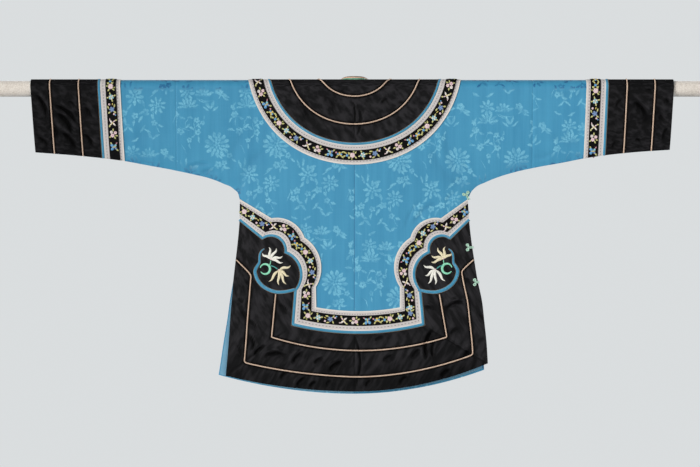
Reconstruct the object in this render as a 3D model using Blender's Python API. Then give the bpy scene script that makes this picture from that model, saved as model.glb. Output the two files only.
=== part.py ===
"""A Chinese silk jacket hung flat on a display rod.

The jacket is drawn first as a flat pattern, in millimetres. A flat point is (across, drop):
across is measured from the centre seam, and drop is the length of cloth from the shoulder
fold, positive down the back and negative down the front. wrap() lays such a point over the
rod. The origin is the middle of the rod, +X runs along it and the back faces -Y.
"""
import math

import bmesh
import bpy
from mathutils import Vector

MM = 0.001
LEFT, RIGHT = -1, 1
BACK, FRONT = 1, -1

# The rod, and the cloth over it
ROD_RADIUS = 16.5
ROD_REACH = 790.0
ROD_SIDES = 24
FOLD_RADIUS = 18.5
FOLD_STEPS = 10
QUARTER_TURN = FOLD_RADIUS * math.pi / 2

# Thicknesses and clearances
WALL = 1.5
TRIM = 1.0
LINING = 1.0
SEAM = 0.3
REST = 0.4
SEWN_EDGE = 1.65
OPEN_EDGE = 6.2
EDGE_OPENS_FROM = 300.0
EDGE_OPENS_BY = 640.0
SWELL_REACH = 120.0

# Cut of the body and sleeves
SLEEVE_SEAM = 373.0
ARMPIT_DROP = 263.5
SKIRT_COLUMNS = 6
UNDERARM_COLUMNS = (252.0, 275.0, 308.0, 340.0)
UPPER_ROWS = 8
CHEST_ROWS = 5
LOWER_ROWS = 13
SLEEVE_COLUMNS = 7
SLEEVE_ROWS = 5
CUFF_COLUMNS = 3
CUFF_REACH = {LEFT: 678.5, RIGHT: 668.5}
CUFF_SLANT = {LEFT: (9.0, 7.8), RIGHT: (7.3, 4.3)}
CUFF_SCALE = {LEFT: 1.01, RIGHT: 0.985}
UNDERARM = (
    # across, drop on the left, drop on the right
    (680.0, 162.5, 156.5),
    (585.0, 170.0, 163.0),
    (500.0, 179.5, 173.0),
    (435.0, 190.5, 185.0),
    (385.0, 199.0, 193.5),
    (335.0, 209.5, 204.5),
    (308.0, 216.0, 212.5),
    (275.0, 228.5, 225.5),
    (252.0, 241.0, 238.0),
    (243.0, 253.0, 249.0),
)
SIDE_EDGE = (
    # drop, back left, back right, front left, front right
    (263.5, 240.5, 237.5, 240.5, 237.5),
    (310.0, 241.5, 241.0, 241.5, 241.0),
    (350.0, 245.0, 245.5, 245.0, 245.0),
    (390.0, 249.5, 251.5, 249.5, 250.5),
    (430.0, 254.0, 258.0, 254.5, 256.0),
    (475.0, 257.5, 267.5, 262.0, 263.0),
    (515.0, 260.8, 272.0, 267.5, 267.0),
    (560.0, 263.7, 276.7, 275.0, 270.0),
    (605.0, 267.5, 279.5, 281.8, 272.0),
    (632.0, 270.0, 281.0, 286.0, 273.0),
)
SIDE_COLUMN = {(BACK, LEFT): 1, (BACK, RIGHT): 2, (FRONT, LEFT): 3, (FRONT, RIGHT): 4}
HEM_DROP = {BACK: 663.5, FRONT: 670.0}
HEM_REACH = {(BACK, LEFT): 270.0, (BACK, RIGHT): 279.5, (FRONT, LEFT): 286.0, (FRONT, RIGHT): 272.5}
HEM_RISE = {(BACK, LEFT): 32.5, (BACK, RIGHT): 58.5, (FRONT, LEFT): 40.0, (FRONT, RIGHT): 50.5}

# The soft folds of the hanging cloth: side, across, half width, height, first seen at this drop
FOLDS = (
    (BACK, -168.0, 56.0, 1.6, 300.0),
    (BACK, -66.0, 52.0, -1.5, 260.0),
    (BACK, 36.0, 60.0, 1.7, 300.0),
    (BACK, 150.0, 54.0, -1.4, 340.0),
    (FRONT, -150.0, 60.0, 1.5, 300.0),
    (FRONT, -20.0, 60.0, -1.3, 320.0),
    (FRONT, 120.0, 60.0, 1.5, 300.0),
)
FOLD_FALL = 330.0

# Neck and yoke, round a point in front of the shoulder fold
NECK_DROP = -38.0
NECK_RADIUS = -NECK_DROP + QUARTER_TURN * 2 / FOLD_STEPS
NECK_ANGLES = (-7.0, -25.0, -50.0, -70.0, -90.0)
FRONT_SLIT = 0.5
YOKE_RADIUS = 180.5
YOKE_SWELL = 0.018
YOKE_BIAS = (180.9, 186.2)
YOKE_RIBBON = (186.6, 226.5)
YOKE_FLOWERS = (196.5, 218.0)
YOKE_PIPING = (84.0, 142.0)
YOKE_COLUMNS = 4
FRONT_TURNS = 5
BACK_TURNS = 7
HALVINGS = 40
COLLAR_THICK = 1.5
COLLAR_FOOT = -0.9
COLLAR_TOP = 8.0
COLLAR_LEAN = 4.0

# Sewn on round each cuff, measured in from the sleeve's end
CUFF_SATIN = 138.5
CUFF_BIAS = (139.0, 144.8)
CUFF_RIBBON = (145.3, 186.0)
CUFF_FLOWERS = (155.5, 177.0)
CUFF_PIPING = (40.0, 99.5)
CUFF_DROP = 162.0

# Heights above the cloth that carries them
SATIN_LIFT = (REST, REST + TRIM)
FLOWER_LIFT = (2 * REST + TRIM, 2 * REST + 2 * TRIM)
BIAS_LIFT = (REST, REST + 1.6)
ON_SATIN_LIFT = (2 * REST + TRIM, 2 * REST + TRIM + 1.3)
PIPING_WIDTH = 3.6

# The ribbon band round the hem: where it turns, with its two edges, and the bulge of each
# edge from there to the next turn. Skew is how far both sides have swung to the right.
BAND = (
    # outer across, outer drop, inner across, inner drop, skew, outer bulge, inner bulge, steps
    (238.5, 261.0, 241.0, 307.5, -1.0, 0.0, 0.0, 2),
    (177.5, 301.0, 197.5, 346.5, 3.5, 15.0, 19.0, 5),
    (111.0, 341.5, 151.0, 374.0, 6.0, 22.0, 25.5, 7),
    (88.0, 445.0, 133.0, 452.5, 7.0, 0.0, 0.0, 2),
    (87.5, 487.5, 140.0, 523.0, 7.5, 0.0, 0.0, 1),
)
BAND_FOOT_BULGE = (8.0, 17.5)
BAND_FOOT_STEPS = 12
BAND_RIBBON = (0.0, 0.83)
BAND_FLOWERS = (0.195, 0.645)
BAND_BIAS = (0.85, 0.99)
BORDER_COLUMNS = 3
BORDER_CROWDING = 0.9

# The blue curl in each lobed head
CURL_CENTRE = (165.5, 406.5)
CURL_RADIUS = 48.5
CURL_FROM, CURL_TO = 59.0, 202.0
CURL_TIP = ((207.0, 378.5), (203.5, 369.5), (196.5, 364.5))
CURL_SKEW = 6.0
CURL_WIDTH = 6.6
CURL_STEPS = 10

# Piping on the hem border
OUTER_PIPING_FROM = 388.0
OUTER_PIPING_BEND = 418.0
OUTER_PIPING_INSET = {LEFT: 36.5, RIGHT: 30.0}
OUTER_PIPING_MIDDLE = 30.5
# Top under the head, then the corner: across, drop, skew
INNER_PIPING = ((171.5, 460.0, 6.5), (183.5, 550.0, 10.0))
INNER_PIPING_BULGE = 28.0
OUTER_PIPING_STEPS = 4
PIPING_FOOT_STEPS = 10

# The overlapping front
FLAP_LAP = 8.0
FLAP_RAMP = 42.0
FLAP_TOP = REST + WALL
FLAP_CLEAR = 2.0
FLAP_TURN = 150.0
FLAP_COLUMNS = 7

# The lining of the fronts, which shows past the back's left edge and hem
LINING_FROM = 455.0
LINING_INSET = {LEFT: 2.0, RIGHT: 4.0}
LINING_ROWS = 7
LINING_COLUMNS = 6

# Frog fasteners: across and drop of the middle of each pair of coils
COIL = 4.6
FROG_THICK = 2.2
FROG_STEM = 1.8
FROG_PAST_EDGE = 1.2
# Along each pair of coils and their height to each side of the stem, in coil radii
COIL_PROFILE = ((-1.0, 1.0), (-0.6, 1.75), (0.0, 2.0), (0.6, 1.75), (1.0, 0.8))
SIDE_FROGS = (
    # name, across, drop, height of the cloth under it at the back, and at the front
    ("frog_underarm", 233.0, 247.0, 0.0, 0.0),
    ("frog_side_upper", 236.7, 362.0, REST + TRIM, FLAP_TOP + REST + TRIM),
    ("frog_side_lower", 251.8, 435.0, REST + TRIM, FLAP_TOP + REST + TRIM),
)
FRONT_FROGS = (("frog_neck", 92.0), ("frog_chest", 151.0))
FRONT_FROG_REACH = 27.0

COLOURS = {
    # red, green, blue, roughness
    "blue_damask": (0.055, 0.29, 0.47, 0.55),
    "black_satin": (0.008, 0.009, 0.013, 0.38),
    "grey_ribbon": (0.60, 0.57, 0.56, 0.65),
    "flower_ribbon": (0.02, 0.018, 0.025, 0.6),
    "blue_bias": (0.09, 0.36, 0.55, 0.5),
    "peach_piping": (0.70, 0.42, 0.33, 0.55),
    "pale_lining": (0.17, 0.38, 0.50, 0.6),
    "mint_cord": (0.36, 0.58, 0.42, 0.6),
    "rod_cloth": (0.72, 0.65, 0.55, 0.8),
}


def blend(low, high, share):
    return low + (high - low) * share


def mix(first, second, share):
    return (blend(first[0], second[0], share), blend(first[1], second[1], share))


def smooth(share):
    share = min(max(share, 0.0), 1.0)
    return share * share * (3 - 2 * share)


def read(table, column, value, key=0):
    """Straight-line reading of a table whose key column rises or falls."""
    rows = sorted(table, key=lambda row: row[key])
    if value <= rows[0][key]:
        return rows[0][column]
    for low, high in zip(rows, rows[1:]):
        if value <= high[key]:
            return blend(low[column], high[column], (value - low[key]) / (high[key] - low[key]))
    return rows[-1][column]


def side_edge(face, side, drop):
    return read(SIDE_EDGE, SIDE_COLUMN[face, side], drop)


def underarm(side, across):
    """Drop of the sleeve's lower seam, and the armpit's drop nearer the centre."""
    if across <= side_edge(BACK, side, ARMPIT_DROP):
        return ARMPIT_DROP
    seam = UNDERARM + ((side_edge(BACK, side, ARMPIT_DROP), ARMPIT_DROP, ARMPIT_DROP),)
    return read(seam, 1 if side == LEFT else 2, across)


def hem(face, across):
    side = LEFT if across < 0 else RIGHT
    return HEM_DROP[face] - HEM_RISE[face, side] * (across / HEM_REACH[face, side]) ** 2


def outline(face, side):
    column = 1 if side == LEFT else 2
    seam = [(row[0], row[column]) for row in UNDERARM]
    return seam + [(row[SIDE_COLUMN[face, side]], row[0]) for row in SIDE_EDGE]


OUTLINES = {(face, side): outline(face, side) for face in (BACK, FRONT) for side in (LEFT, RIGHT)}


def distance_to_outline(across, drop, face):
    """How far a point lies from the nearest underarm or side edge."""
    nearest = math.inf
    for side in (LEFT, RIGHT):
        point = (across * side, drop)
        for (ax, ad), (bx, bd) in zip(OUTLINES[face, side], OUTLINES[face, side][1:]):
            run = (bx - ax, bd - ad)
            along = (point[0] - ax) * run[0] + (point[1] - ad) * run[1]
            along = min(max(along / (run[0] ** 2 + run[1] ** 2), 0.0), 1.0)
            gap = math.hypot(point[0] - ax - run[0] * along, point[1] - ad - run[1] * along)
            nearest = min(nearest, gap)
    return nearest


def half_depth(across, drop, face):
    """Distance of the cloth's outer face from the middle plane, below the rod."""
    fall = drop - QUARTER_TURN
    reach = SWELL_REACH * (1 - math.exp(-distance_to_outline(across, drop, face) / SWELL_REACH))
    share = fall / (fall + 2 * reach)
    opened = smooth((drop - EDGE_OPENS_FROM) / (EDGE_OPENS_BY - EDGE_OPENS_FROM))
    edge = blend(SEWN_EDGE, OPEN_EDGE, opened)
    waves = 0.0
    for fold_face, middle, width, height, start in FOLDS:
        if fold_face == face:
            shape = math.exp(-((across - middle) / width) ** 2)
            waves += height * shape * smooth((drop - start) / FOLD_FALL)
    return blend(FOLD_RADIUS, edge, share) + waves * reach / SWELL_REACH


def wrap(across, drop, lift):
    """A flat point laid over the rod, moved out of the cloth's outer face by lift."""
    face = BACK if drop >= 0 else FRONT
    if abs(drop) <= QUARTER_TURN:
        turn = drop / FOLD_RADIUS
        radius = FOLD_RADIUS + lift
        return Vector((across, -radius * math.sin(turn), radius * math.cos(turn))) * MM
    depth = half_depth(across, abs(drop), face) + lift
    return Vector((across, -face * depth, QUARTER_TURN - abs(drop))) * MM


def material(slot):
    if slot in bpy.data.materials:
        return bpy.data.materials[slot]
    made = bpy.data.materials.new(slot)
    made.use_nodes = True
    shader = made.node_tree.nodes["Principled BSDF"]
    red, green, blue, rough = COLOURS[slot]
    shader.inputs["Base Color"].default_value = (red, green, blue, 1)
    shader.inputs["Roughness"].default_value = rough
    shader.inputs["Metallic"].default_value = 0
    made.diffuse_color = (red, green, blue, 1)
    return made


def add_object(name, points, faces, slot):
    mesh = bpy.data.meshes.new(name)
    mesh.from_pydata(points, [], faces)
    form = bmesh.new()
    form.from_mesh(mesh)
    bmesh.ops.recalc_face_normals(form, faces=form.faces)
    form.to_mesh(mesh)
    form.free()
    mesh.shade_smooth()
    mesh.set_sharp_from_angle(angle=math.radians(40))
    mesh.materials.append(material(slot))
    made = bpy.data.objects.new(name, mesh)
    bpy.context.collection.objects.link(made)
    return made


def sheet(name, grids, lift, slot, ground=None):
    """A closed cloth wall over grids of flat points. Grids that share points are sewn there."""
    places = {}
    triangles = []
    for rows in grids:
        for near, far in zip(rows, rows[1:]):
            for column in range(len(near) - 1):
                corners = (near[column], near[column + 1], far[column + 1], far[column])
                marks = [places.setdefault((round(x, 3), round(d, 3)), len(places)) for x, d in corners]
                for picked in ((0, 1, 2), (0, 2, 3)):
                    triangle = tuple(marks[corner] for corner in picked)
                    if len(set(triangle)) == 3:
                        triangles.append(triangle)
    points = []
    for level in (1, 0):
        for x, d in places:
            base = ground(x, d) if ground else 0.0
            points.append(wrap(x, d, base + lift[level]))
    count = len(places)
    faces = []
    edges = {}
    for a, b, c in triangles:
        faces.append((a, b, c))
        faces.append((c + count, b + count, a + count))
        for start, end in ((a, b), (b, c), (c, a)):
            edges.setdefault(frozenset((start, end)), []).append((start, end))
    for uses in edges.values():
        if len(uses) == 1:
            start, end = uses[0]
            faces.append((end, start, start + count))
            faces.append((end, start + count, end + count))
    return add_object(name, points, faces, slot)


def ridge(name, pairs, lift, slot, ground=None):
    """A raised line with a three-sided section: two feet and a top between them."""
    points = []
    for first, second in pairs:
        middle = mix(first, second, 0.5)
        for place, height in ((first, lift[0]), (middle, lift[1]), (second, lift[0])):
            base = ground(*place) if ground else 0.0
            points.append(wrap(*place, base + height))
    faces = [(0, 1, 2)]
    for start in range(0, len(points) - 3, 3):
        for edge in range(3):
            a = start + edge
            b = start + (edge + 1) % 3
            faces.append((a, b, b + 3))
            faces.append((a, b + 3, a + 3))
    faces.append((len(points) - 3, len(points) - 1, len(points) - 2))
    return add_object(name, points, faces, slot)


def beside(path, width):
    """Pairs of points half a width to each side of a flat path, mitred at its bends."""
    pairs = []
    for place, (x, d) in enumerate(path):
        ahead = path[min(place + 1, len(path) - 1)]
        behind = path[max(place - 1, 0)]
        ways = []
        for start, end in ((behind, (x, d)), ((x, d), ahead)):
            length = math.hypot(end[0] - start[0], end[1] - start[1])
            if length:
                ways.append(((end[0] - start[0]) / length, (end[1] - start[1]) / length))
        way = (sum(w[0] for w in ways), sum(w[1] for w in ways))
        size = math.hypot(*way)
        normal = (-way[1] / size, way[0] / size)
        spread = width / 2 / max(0.5, abs(normal[0] * -ways[0][1] + normal[1] * ways[0][0]))
        pairs.append(((x + normal[0] * spread, d + normal[1] * spread),
                      (x - normal[0] * spread, d - normal[1] * spread)))
    return pairs


def arc(start, end, bulge, steps):
    """Points after start up to end, bowed to the right of the way by bulge."""
    run = (end[0] - start[0], end[1] - start[1])
    chord = math.hypot(*run)
    if not bulge:
        return [mix(start, end, step / steps) for step in range(1, steps + 1)]
    radius = (chord * chord / 4 + bulge * bulge) / (2 * abs(bulge))
    half = 2 * math.atan(2 * abs(bulge) / chord)
    side = (run[1] / chord, -run[0] / chord)
    points = []
    for step in range(1, steps + 1):
        angle = half * (2 * step / steps - 1)
        along = radius * math.sin(angle) / chord + 0.5
        out = math.copysign(radius * (math.cos(angle) - math.cos(half)), bulge)
        place = mix(start, end, along)
        points.append((place[0] + side[0] * out, place[1] + side[1] * out))
    return points


def fold_rows():
    """Drops of the lines where the cloth bends over the rod, front to back."""
    return [QUARTER_TURN * (2 * step / FOLD_STEPS - 1) for step in range(FOLD_STEPS + 1)]


def neck_edge(drop):
    """Across of the neck hole's edge at a drop, or the centre seam beyond it."""
    room = NECK_RADIUS ** 2 - (drop - NECK_DROP) ** 2
    return math.sqrt(room) if room > 0 else 0.0


def neck_rows():
    """Front drops of the neck hole's own points, down to its lowest."""
    return [NECK_DROP + NECK_RADIUS * math.sin(math.radians(angle)) for angle in NECK_ANGLES]


def build_rod():
    bpy.ops.mesh.primitive_cylinder_add(
        vertices=ROD_SIDES, radius=ROD_RADIUS * MM, depth=2 * ROD_REACH * MM, rotation=(0, math.pi / 2, 0)
    )
    rod = bpy.context.object
    rod.name = "display_rod"
    rod.data.shade_smooth()
    rod.data.set_sharp_from_angle(angle=math.radians(40))
    rod.data.materials.append(material("rod_cloth"))


def body_columns(side):
    armpit = side_edge(BACK, side, ARMPIT_DROP)
    skirt = [armpit * column / SKIRT_COLUMNS for column in range(SKIRT_COLUMNS + 1)]
    return skirt + list(UNDERARM_COLUMNS) + [SLEEVE_SEAM]


def upper_grid(side):
    """The shoulder half with its neck edge, from the front armpit level to the back one."""
    columns = body_columns(side)
    armpit = columns[SKIRT_COLUMNS]
    neck = [-drop for drop in neck_rows()]
    chest = [blend(neck[-1], ARMPIT_DROP, step / CHEST_ROWS) for step in range(1, CHEST_ROWS + 1)]
    front = [QUARTER_TURN] + neck + chest
    back = [blend(QUARTER_TURN, ARMPIT_DROP, step / UPPER_ROWS) for step in range(UPPER_ROWS + 1)]
    lines = [(-drop, step / (len(front) - 1)) for step, drop in enumerate(front)][::-1]
    lines += [(drop, None) for drop in fold_rows()[1:-1]]
    lines += [(drop, step / UPPER_ROWS) for step, drop in enumerate(back)]
    rows = []
    for centre, share in lines:
        edge = max(neck_edge(centre), SEAM / 2)
        row = []
        for column in columns:
            drop = centre
            if share is not None:
                even = blend(QUARTER_TURN, underarm(side, column), share)
                drop = math.copysign(blend(abs(centre), even, min(column / armpit, 1.0)), centre)
            across = edge + column * (1 - (edge + SEAM / 2) / SLEEVE_SEAM)
            row.append((side * across, drop))
        rows.append(row)
    return rows


def lower_grid(face, side, top_row):
    """The skirt of one half, from the armpit level to the hem."""
    skirt = top_row[:SKIRT_COLUMNS + 1]
    armpit = abs(skirt[-1][0])
    rows = [skirt]
    corner = hem(face, side * HEM_REACH[face, side])
    for step in range(1, LOWER_ROWS + 1):
        share = step / LOWER_ROWS
        level = blend(ARMPIT_DROP, corner, share)
        reach = side_edge(face, side, level)
        row = []
        for across, _ in skirt:
            place = across / armpit * reach
            sag = (hem(face, place) - corner) * share ** 2
            row.append((place, face * (level + sag)))
        rows.append(row)
    return rows


def build_body(side, name):
    upper = upper_grid(side)
    grids = [upper, lower_grid(BACK, side, upper[-1]), lower_grid(FRONT, side, upper[0])]
    sheet(name, grids, (-WALL, 0.0), "blue_damask")


def cuff_line(side, inset, drop):
    """Across of a line round the sleeve, inset from its slanted end."""
    slant = blend(*CUFF_SLANT[side], inset / CUFF_RIBBON[1])
    return side * (CUFF_REACH[side] - inset - slant * abs(drop) / CUFF_DROP)


def sleeve_rows(side, insets):
    """Rows of points round a sleeve, from the front of its lower seam to the back."""
    seam = CUFF_REACH[side] - SLEEVE_SEAM
    shares = [step / SLEEVE_ROWS for step in range(SLEEVE_ROWS + 1)]
    lines = [(FRONT, share) for share in reversed(shares)]
    lines += [(drop, None) for drop in fold_rows()[1:-1]]
    lines += [(BACK, share) for share in shares]
    rows = []
    for mark, share in lines:
        row = []
        for inset in insets:
            drop = mark
            if share is not None:
                drop = mark * blend(QUARTER_TURN, underarm(side, CUFF_REACH[side] - inset), share)
            across = cuff_line(side, inset, drop)
            if inset == seam:
                across = side * (SLEEVE_SEAM + SEAM / 2)
            row.append((across, drop))
        rows.append(row)
    return rows


def build_sleeve(side, word):
    length = CUFF_REACH[side] - SLEEVE_SEAM
    scale = CUFF_SCALE[side]
    insets = [length * step / SLEEVE_COLUMNS for step in range(SLEEVE_COLUMNS)] + [length]
    sheet("sleeve_" + word, [sleeve_rows(side, insets)], (-WALL, 0.0), "blue_damask")
    satin = [scale * CUFF_SATIN * step / CUFF_COLUMNS for step in range(CUFF_COLUMNS + 1)]
    sheet("cuff_" + word, [sleeve_rows(side, satin)], SATIN_LIFT, "black_satin")
    ribbon, flowers, bias = ([scale * inset for inset in edges] for edges in
                             (CUFF_RIBBON, CUFF_FLOWERS, CUFF_BIAS))
    sheet("cuff_ribbon_" + word, [sleeve_rows(side, ribbon)], SATIN_LIFT, "grey_ribbon")
    sheet("cuff_flowers_" + word, [sleeve_rows(side, flowers)], FLOWER_LIFT, "flower_ribbon")
    ridge("cuff_bias_" + word, sleeve_rows(side, bias), BIAS_LIFT, "blue_bias")
    for number, inset in enumerate(CUFF_PIPING, 1):
        line = [scale * inset - PIPING_WIDTH / 2, scale * inset + PIPING_WIDTH / 2]
        ridge(f"cuff_piping_{number}_{word}", sleeve_rows(side, line), ON_SATIN_LIFT, "peach_piping")


def yoke_place(radius, angle):
    """A point of the yoke's rings, which swell a little between the straight ways."""
    turn = math.radians(angle)
    swollen = radius * (1 + YOKE_SWELL * math.sin(2 * turn) ** 2)
    return (swollen * math.cos(turn), NECK_DROP + swollen * math.sin(turn))


def yoke_angle(radius, drop):
    """The angle at which a ring crosses a drop, found by halving."""
    low, high = -90.0, 90.0
    for _ in range(HALVINGS):
        middle = (low + high) / 2
        if yoke_place(radius, middle)[1] < drop:
            low = middle
        else:
            high = middle
    return low


def yoke_ring(radius):
    """Half a ring's points, from the front slit over the shoulder to the centre back."""
    front = yoke_angle(radius, -QUARTER_TURN)
    back = yoke_angle(radius, QUARTER_TURN)
    points = [yoke_place(radius, blend(-90, front, step / FRONT_TURNS)) for step in range(FRONT_TURNS)]
    points += [(yoke_place(radius, yoke_angle(radius, drop))[0], drop) for drop in fold_rows()]
    points += [yoke_place(radius, blend(back, 90, step / BACK_TURNS)) for step in range(1, BACK_TURNS + 1)]
    points[0] = (FRONT_SLIT, points[0][1])
    points[-1] = (0.0, points[-1][1])
    return points


def whole_ring(radius):
    """A ring from the left of the front slit round the back to the right of it."""
    right = yoke_ring(radius)
    left = [(-x, d) for x, d in right]
    return left[:-1] + right[::-1]


def yoke_half():
    """Rows of half the yoke, each from the neck or the centre line to its round edge."""
    outer = yoke_ring(YOKE_RADIUS)
    foot = outer[-1][1]
    neck = [(neck_edge(drop), drop) for drop in neck_rows()[::-1] + fold_rows()]
    neck[0] = (FRONT_SLIT, neck[0][1])
    centre = [(0.0, blend(QUARTER_TURN, foot, step / BACK_TURNS)) for step in range(1, BACK_TURNS + 1)]
    rows = []
    for near, far in zip(neck + centre, outer):
        rows.append([mix(near, far, column / YOKE_COLUMNS) for column in range(YOKE_COLUMNS + 1)])
    return rows


def build_yoke():
    right = yoke_half()
    left = [[(-across, drop) for across, drop in row] for row in right]
    sheet("yoke", [right, left], SATIN_LIFT, "black_satin")
    for name, edges, lift, slot in (
        ("yoke_ribbon", YOKE_RIBBON, SATIN_LIFT, "grey_ribbon"),
        ("yoke_flowers", YOKE_FLOWERS, FLOWER_LIFT, "flower_ribbon"),
    ):
        sheet(name, [list(zip(*(whole_ring(radius) for radius in edges)))], lift, slot)
    ridge("yoke_bias", list(zip(*(whole_ring(radius) for radius in YOKE_BIAS))), BIAS_LIFT, "blue_bias")
    for number, middle in enumerate(YOKE_PIPING, 1):
        edges = (middle - PIPING_WIDTH / 2, middle + PIPING_WIDTH / 2)
        line = list(zip(*(whole_ring(radius) for radius in edges)))
        ridge(f"yoke_piping_{number}", line, ON_SATIN_LIFT, "peach_piping")


def build_collar():
    """The standing band, a leaning strip inside the neck edge, open at the front."""
    edge = [(neck_edge(drop), drop) for drop in neck_rows()[::-1] + fold_rows()]
    edge = [place for place in edge if place[1] <= NECK_DROP + NECK_RADIUS + REST / 2]
    edge[0] = (2 * FRONT_SLIT, edge[0][1])
    sections = []
    for across, drop in [(-x, d) for x, d in edge[:-1]] + edge[::-1]:
        section = []
        for lean, height in ((0.0, COLLAR_FOOT), (COLLAR_LEAN, COLLAR_TOP)):
            for thick in (0.0, COLLAR_THICK):
                share = (NECK_RADIUS - 2 * SEAM - lean - thick) / NECK_RADIUS
                place = mix((0.0, NECK_DROP), (across, drop), share)
                section.append(wrap(*place, height))
        sections.append(section)
    tube("collar", sections, "mint_cord")


def flap_top(across):
    """Drop of the overlapping front's upper edge: round the yoke, then to the armpit."""
    radius = YOKE_RIBBON[1] + FLAP_CLEAR
    turn = min(max(across, 0.0), FLAP_TURN)
    drop = math.sqrt(radius ** 2 - turn ** 2) * (1 + YOKE_SWELL) - NECK_DROP
    armpit = side_edge(FRONT, RIGHT, ARMPIT_DROP)
    return blend(drop, ARMPIT_DROP, smooth((across - FLAP_TURN) / (armpit - FLAP_TURN)))


def flap_ground(across, drop):
    """Height that the overlapping front adds under the hem's trimming."""
    if drop > 0:
        return 0.0
    return FLAP_TOP * smooth((across + FLAP_LAP + FLAP_RAMP) / FLAP_RAMP)


def build_flap():
    """The outer front, from its lapped centre seam to the wearer's right side."""
    rows = []
    armpit = side_edge(FRONT, RIGHT, ARMPIT_DROP)
    for step in range(LOWER_ROWS + 1):
        row = []
        level = blend(ARMPIT_DROP, hem(FRONT, HEM_REACH[FRONT, RIGHT]), step / LOWER_ROWS)
        for column in range(FLAP_COLUMNS + 1):
            share = column / FLAP_COLUMNS
            top = flap_top(blend(-FLAP_LAP, armpit, share))
            across = blend(-FLAP_LAP, side_edge(FRONT, RIGHT, level), share)
            drop = blend(top, hem(FRONT, across), step / LOWER_ROWS)
            row.append((across, -drop))
        rows.append(row)
    sheet("front_flap", [rows], (REST, FLAP_TOP), "blue_damask")


def build_lining():
    rows = []
    for step in range(LINING_ROWS + 1):
        row = []
        for column in range(-LINING_COLUMNS, LINING_COLUMNS + 1):
            side = LEFT if column < 0 else RIGHT
            inset = LINING_INSET[side]
            corner = hem(FRONT, HEM_REACH[FRONT, side] * side) - inset
            level = blend(LINING_FROM, corner, step / LINING_ROWS)
            across = column / LINING_COLUMNS * (side_edge(FRONT, side, level) - inset)
            drop = blend(LINING_FROM, hem(FRONT, across) - inset, step / LINING_ROWS)
            row.append((across, -drop))
        rows.append(row)
    lift = (-WALL - SEAM - LINING, -WALL - SEAM)
    sheet("front_lining", [rows], lift, "pale_lining")


def band_edge(face, edge):
    """One edge of the hem's ribbon band, from the left side round to the right."""
    sides = {}
    for side in (LEFT, RIGHT):
        turns = []
        for row in BAND:
            across, drop, skew = row[2 * edge], row[2 * edge + 1], row[4]
            turns.append((side * across + skew, drop))
        turns[0] = (side * side_edge(face, side, BAND[0][2 * edge + 1]), turns[0][1])
        points = [turns[0]]
        for place, (start, end) in enumerate(zip(turns, turns[1:])):
            points += arc(start, end, -side * BAND[place][5 + edge], BAND[place][7])
        sides[side] = points
    foot = arc(sides[LEFT][-1], sides[RIGHT][-1], -BAND_FOOT_BULGE[edge], BAND_FOOT_STEPS)
    path = sides[LEFT] + foot[:-1] + sides[RIGHT][::-1]
    return [(x, face * d) for x, d in path]


def band_strip(outer, inner, shares):
    return [(mix(a, b, shares[0]), mix(a, b, shares[1])) for a, b in zip(outer, inner)]


def border_side(face, side, near):
    """Rows from the band's inner edge out to the garment's side edge, down to the mitre."""
    corner = hem(face, side * HEM_REACH[face, side])
    last = len(near) - 1
    rows = []
    for step, start in enumerate(near):
        drop = blend(BAND[0][3] + 1, corner, (step / last) ** BORDER_CROWDING)
        end = (side * side_edge(face, side, drop), face * drop)
        rows.append([mix(start, end, column / BORDER_COLUMNS) for column in range(BORDER_COLUMNS + 1)])
    rows[-1] = [(across, drop - face * SEAM) for across, drop in rows[-1]]
    return rows


def border_foot(face, near):
    """Rows from the band's lower edge down to the hem, between the two mitres."""
    left, right = -HEM_REACH[face, LEFT] + 2 * SEAM, HEM_REACH[face, RIGHT] - 2 * SEAM
    rows = []
    for step, start in enumerate(near):
        across = blend(left, right, step / (len(near) - 1))
        end = (across, face * hem(face, across))
        rows.append([mix(start, end, column / BORDER_COLUMNS) for column in range(BORDER_COLUMNS + 1)])
    for place in (0, -1):
        rows[place] = [(across, drop + face * SEAM) for across, drop in rows[place][:-1]] + rows[place][-1:]
    return rows


def build_border(face, word):
    outer, inner = band_edge(face, 0), band_edge(face, 1)
    sheet("hem_ribbon_" + word, [band_strip(outer, inner, BAND_RIBBON)], SATIN_LIFT,
          "grey_ribbon", flap_ground)
    sheet("hem_flowers_" + word, [band_strip(outer, inner, BAND_FLOWERS)], FLOWER_LIFT,
          "flower_ribbon", flap_ground)
    ridge("hem_bias_" + word, band_strip(outer, inner, BAND_BIAS), BIAS_LIFT, "blue_bias", flap_ground)
    count = 1 + sum(row[7] for row in BAND[:-1])
    pieces = {
        "left": border_side(face, LEFT, inner[:count]),
        "right": border_side(face, RIGHT, inner[::-1][:count]),
        "foot": border_foot(face, inner[count - 1:len(inner) - count + 1]),
    }
    for label, rows in pieces.items():
        sheet(f"border_{word}_{label}", [rows], SATIN_LIFT, "black_satin", flap_ground)


def curl_path(face, side):
    """Round the head from the ribbon's waist, under it and up to the hooked tip."""
    points = []
    for step in range(CURL_STEPS + 1):
        turn = math.radians(blend(CURL_FROM, CURL_TO, step / CURL_STEPS))
        across = CURL_CENTRE[0] - CURL_RADIUS * math.cos(turn)
        points.append((across, CURL_CENTRE[1] + CURL_RADIUS * math.sin(turn)))
    points += list(CURL_TIP)
    return [(side * x + CURL_SKEW, face * d) for x, d in points]


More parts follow.
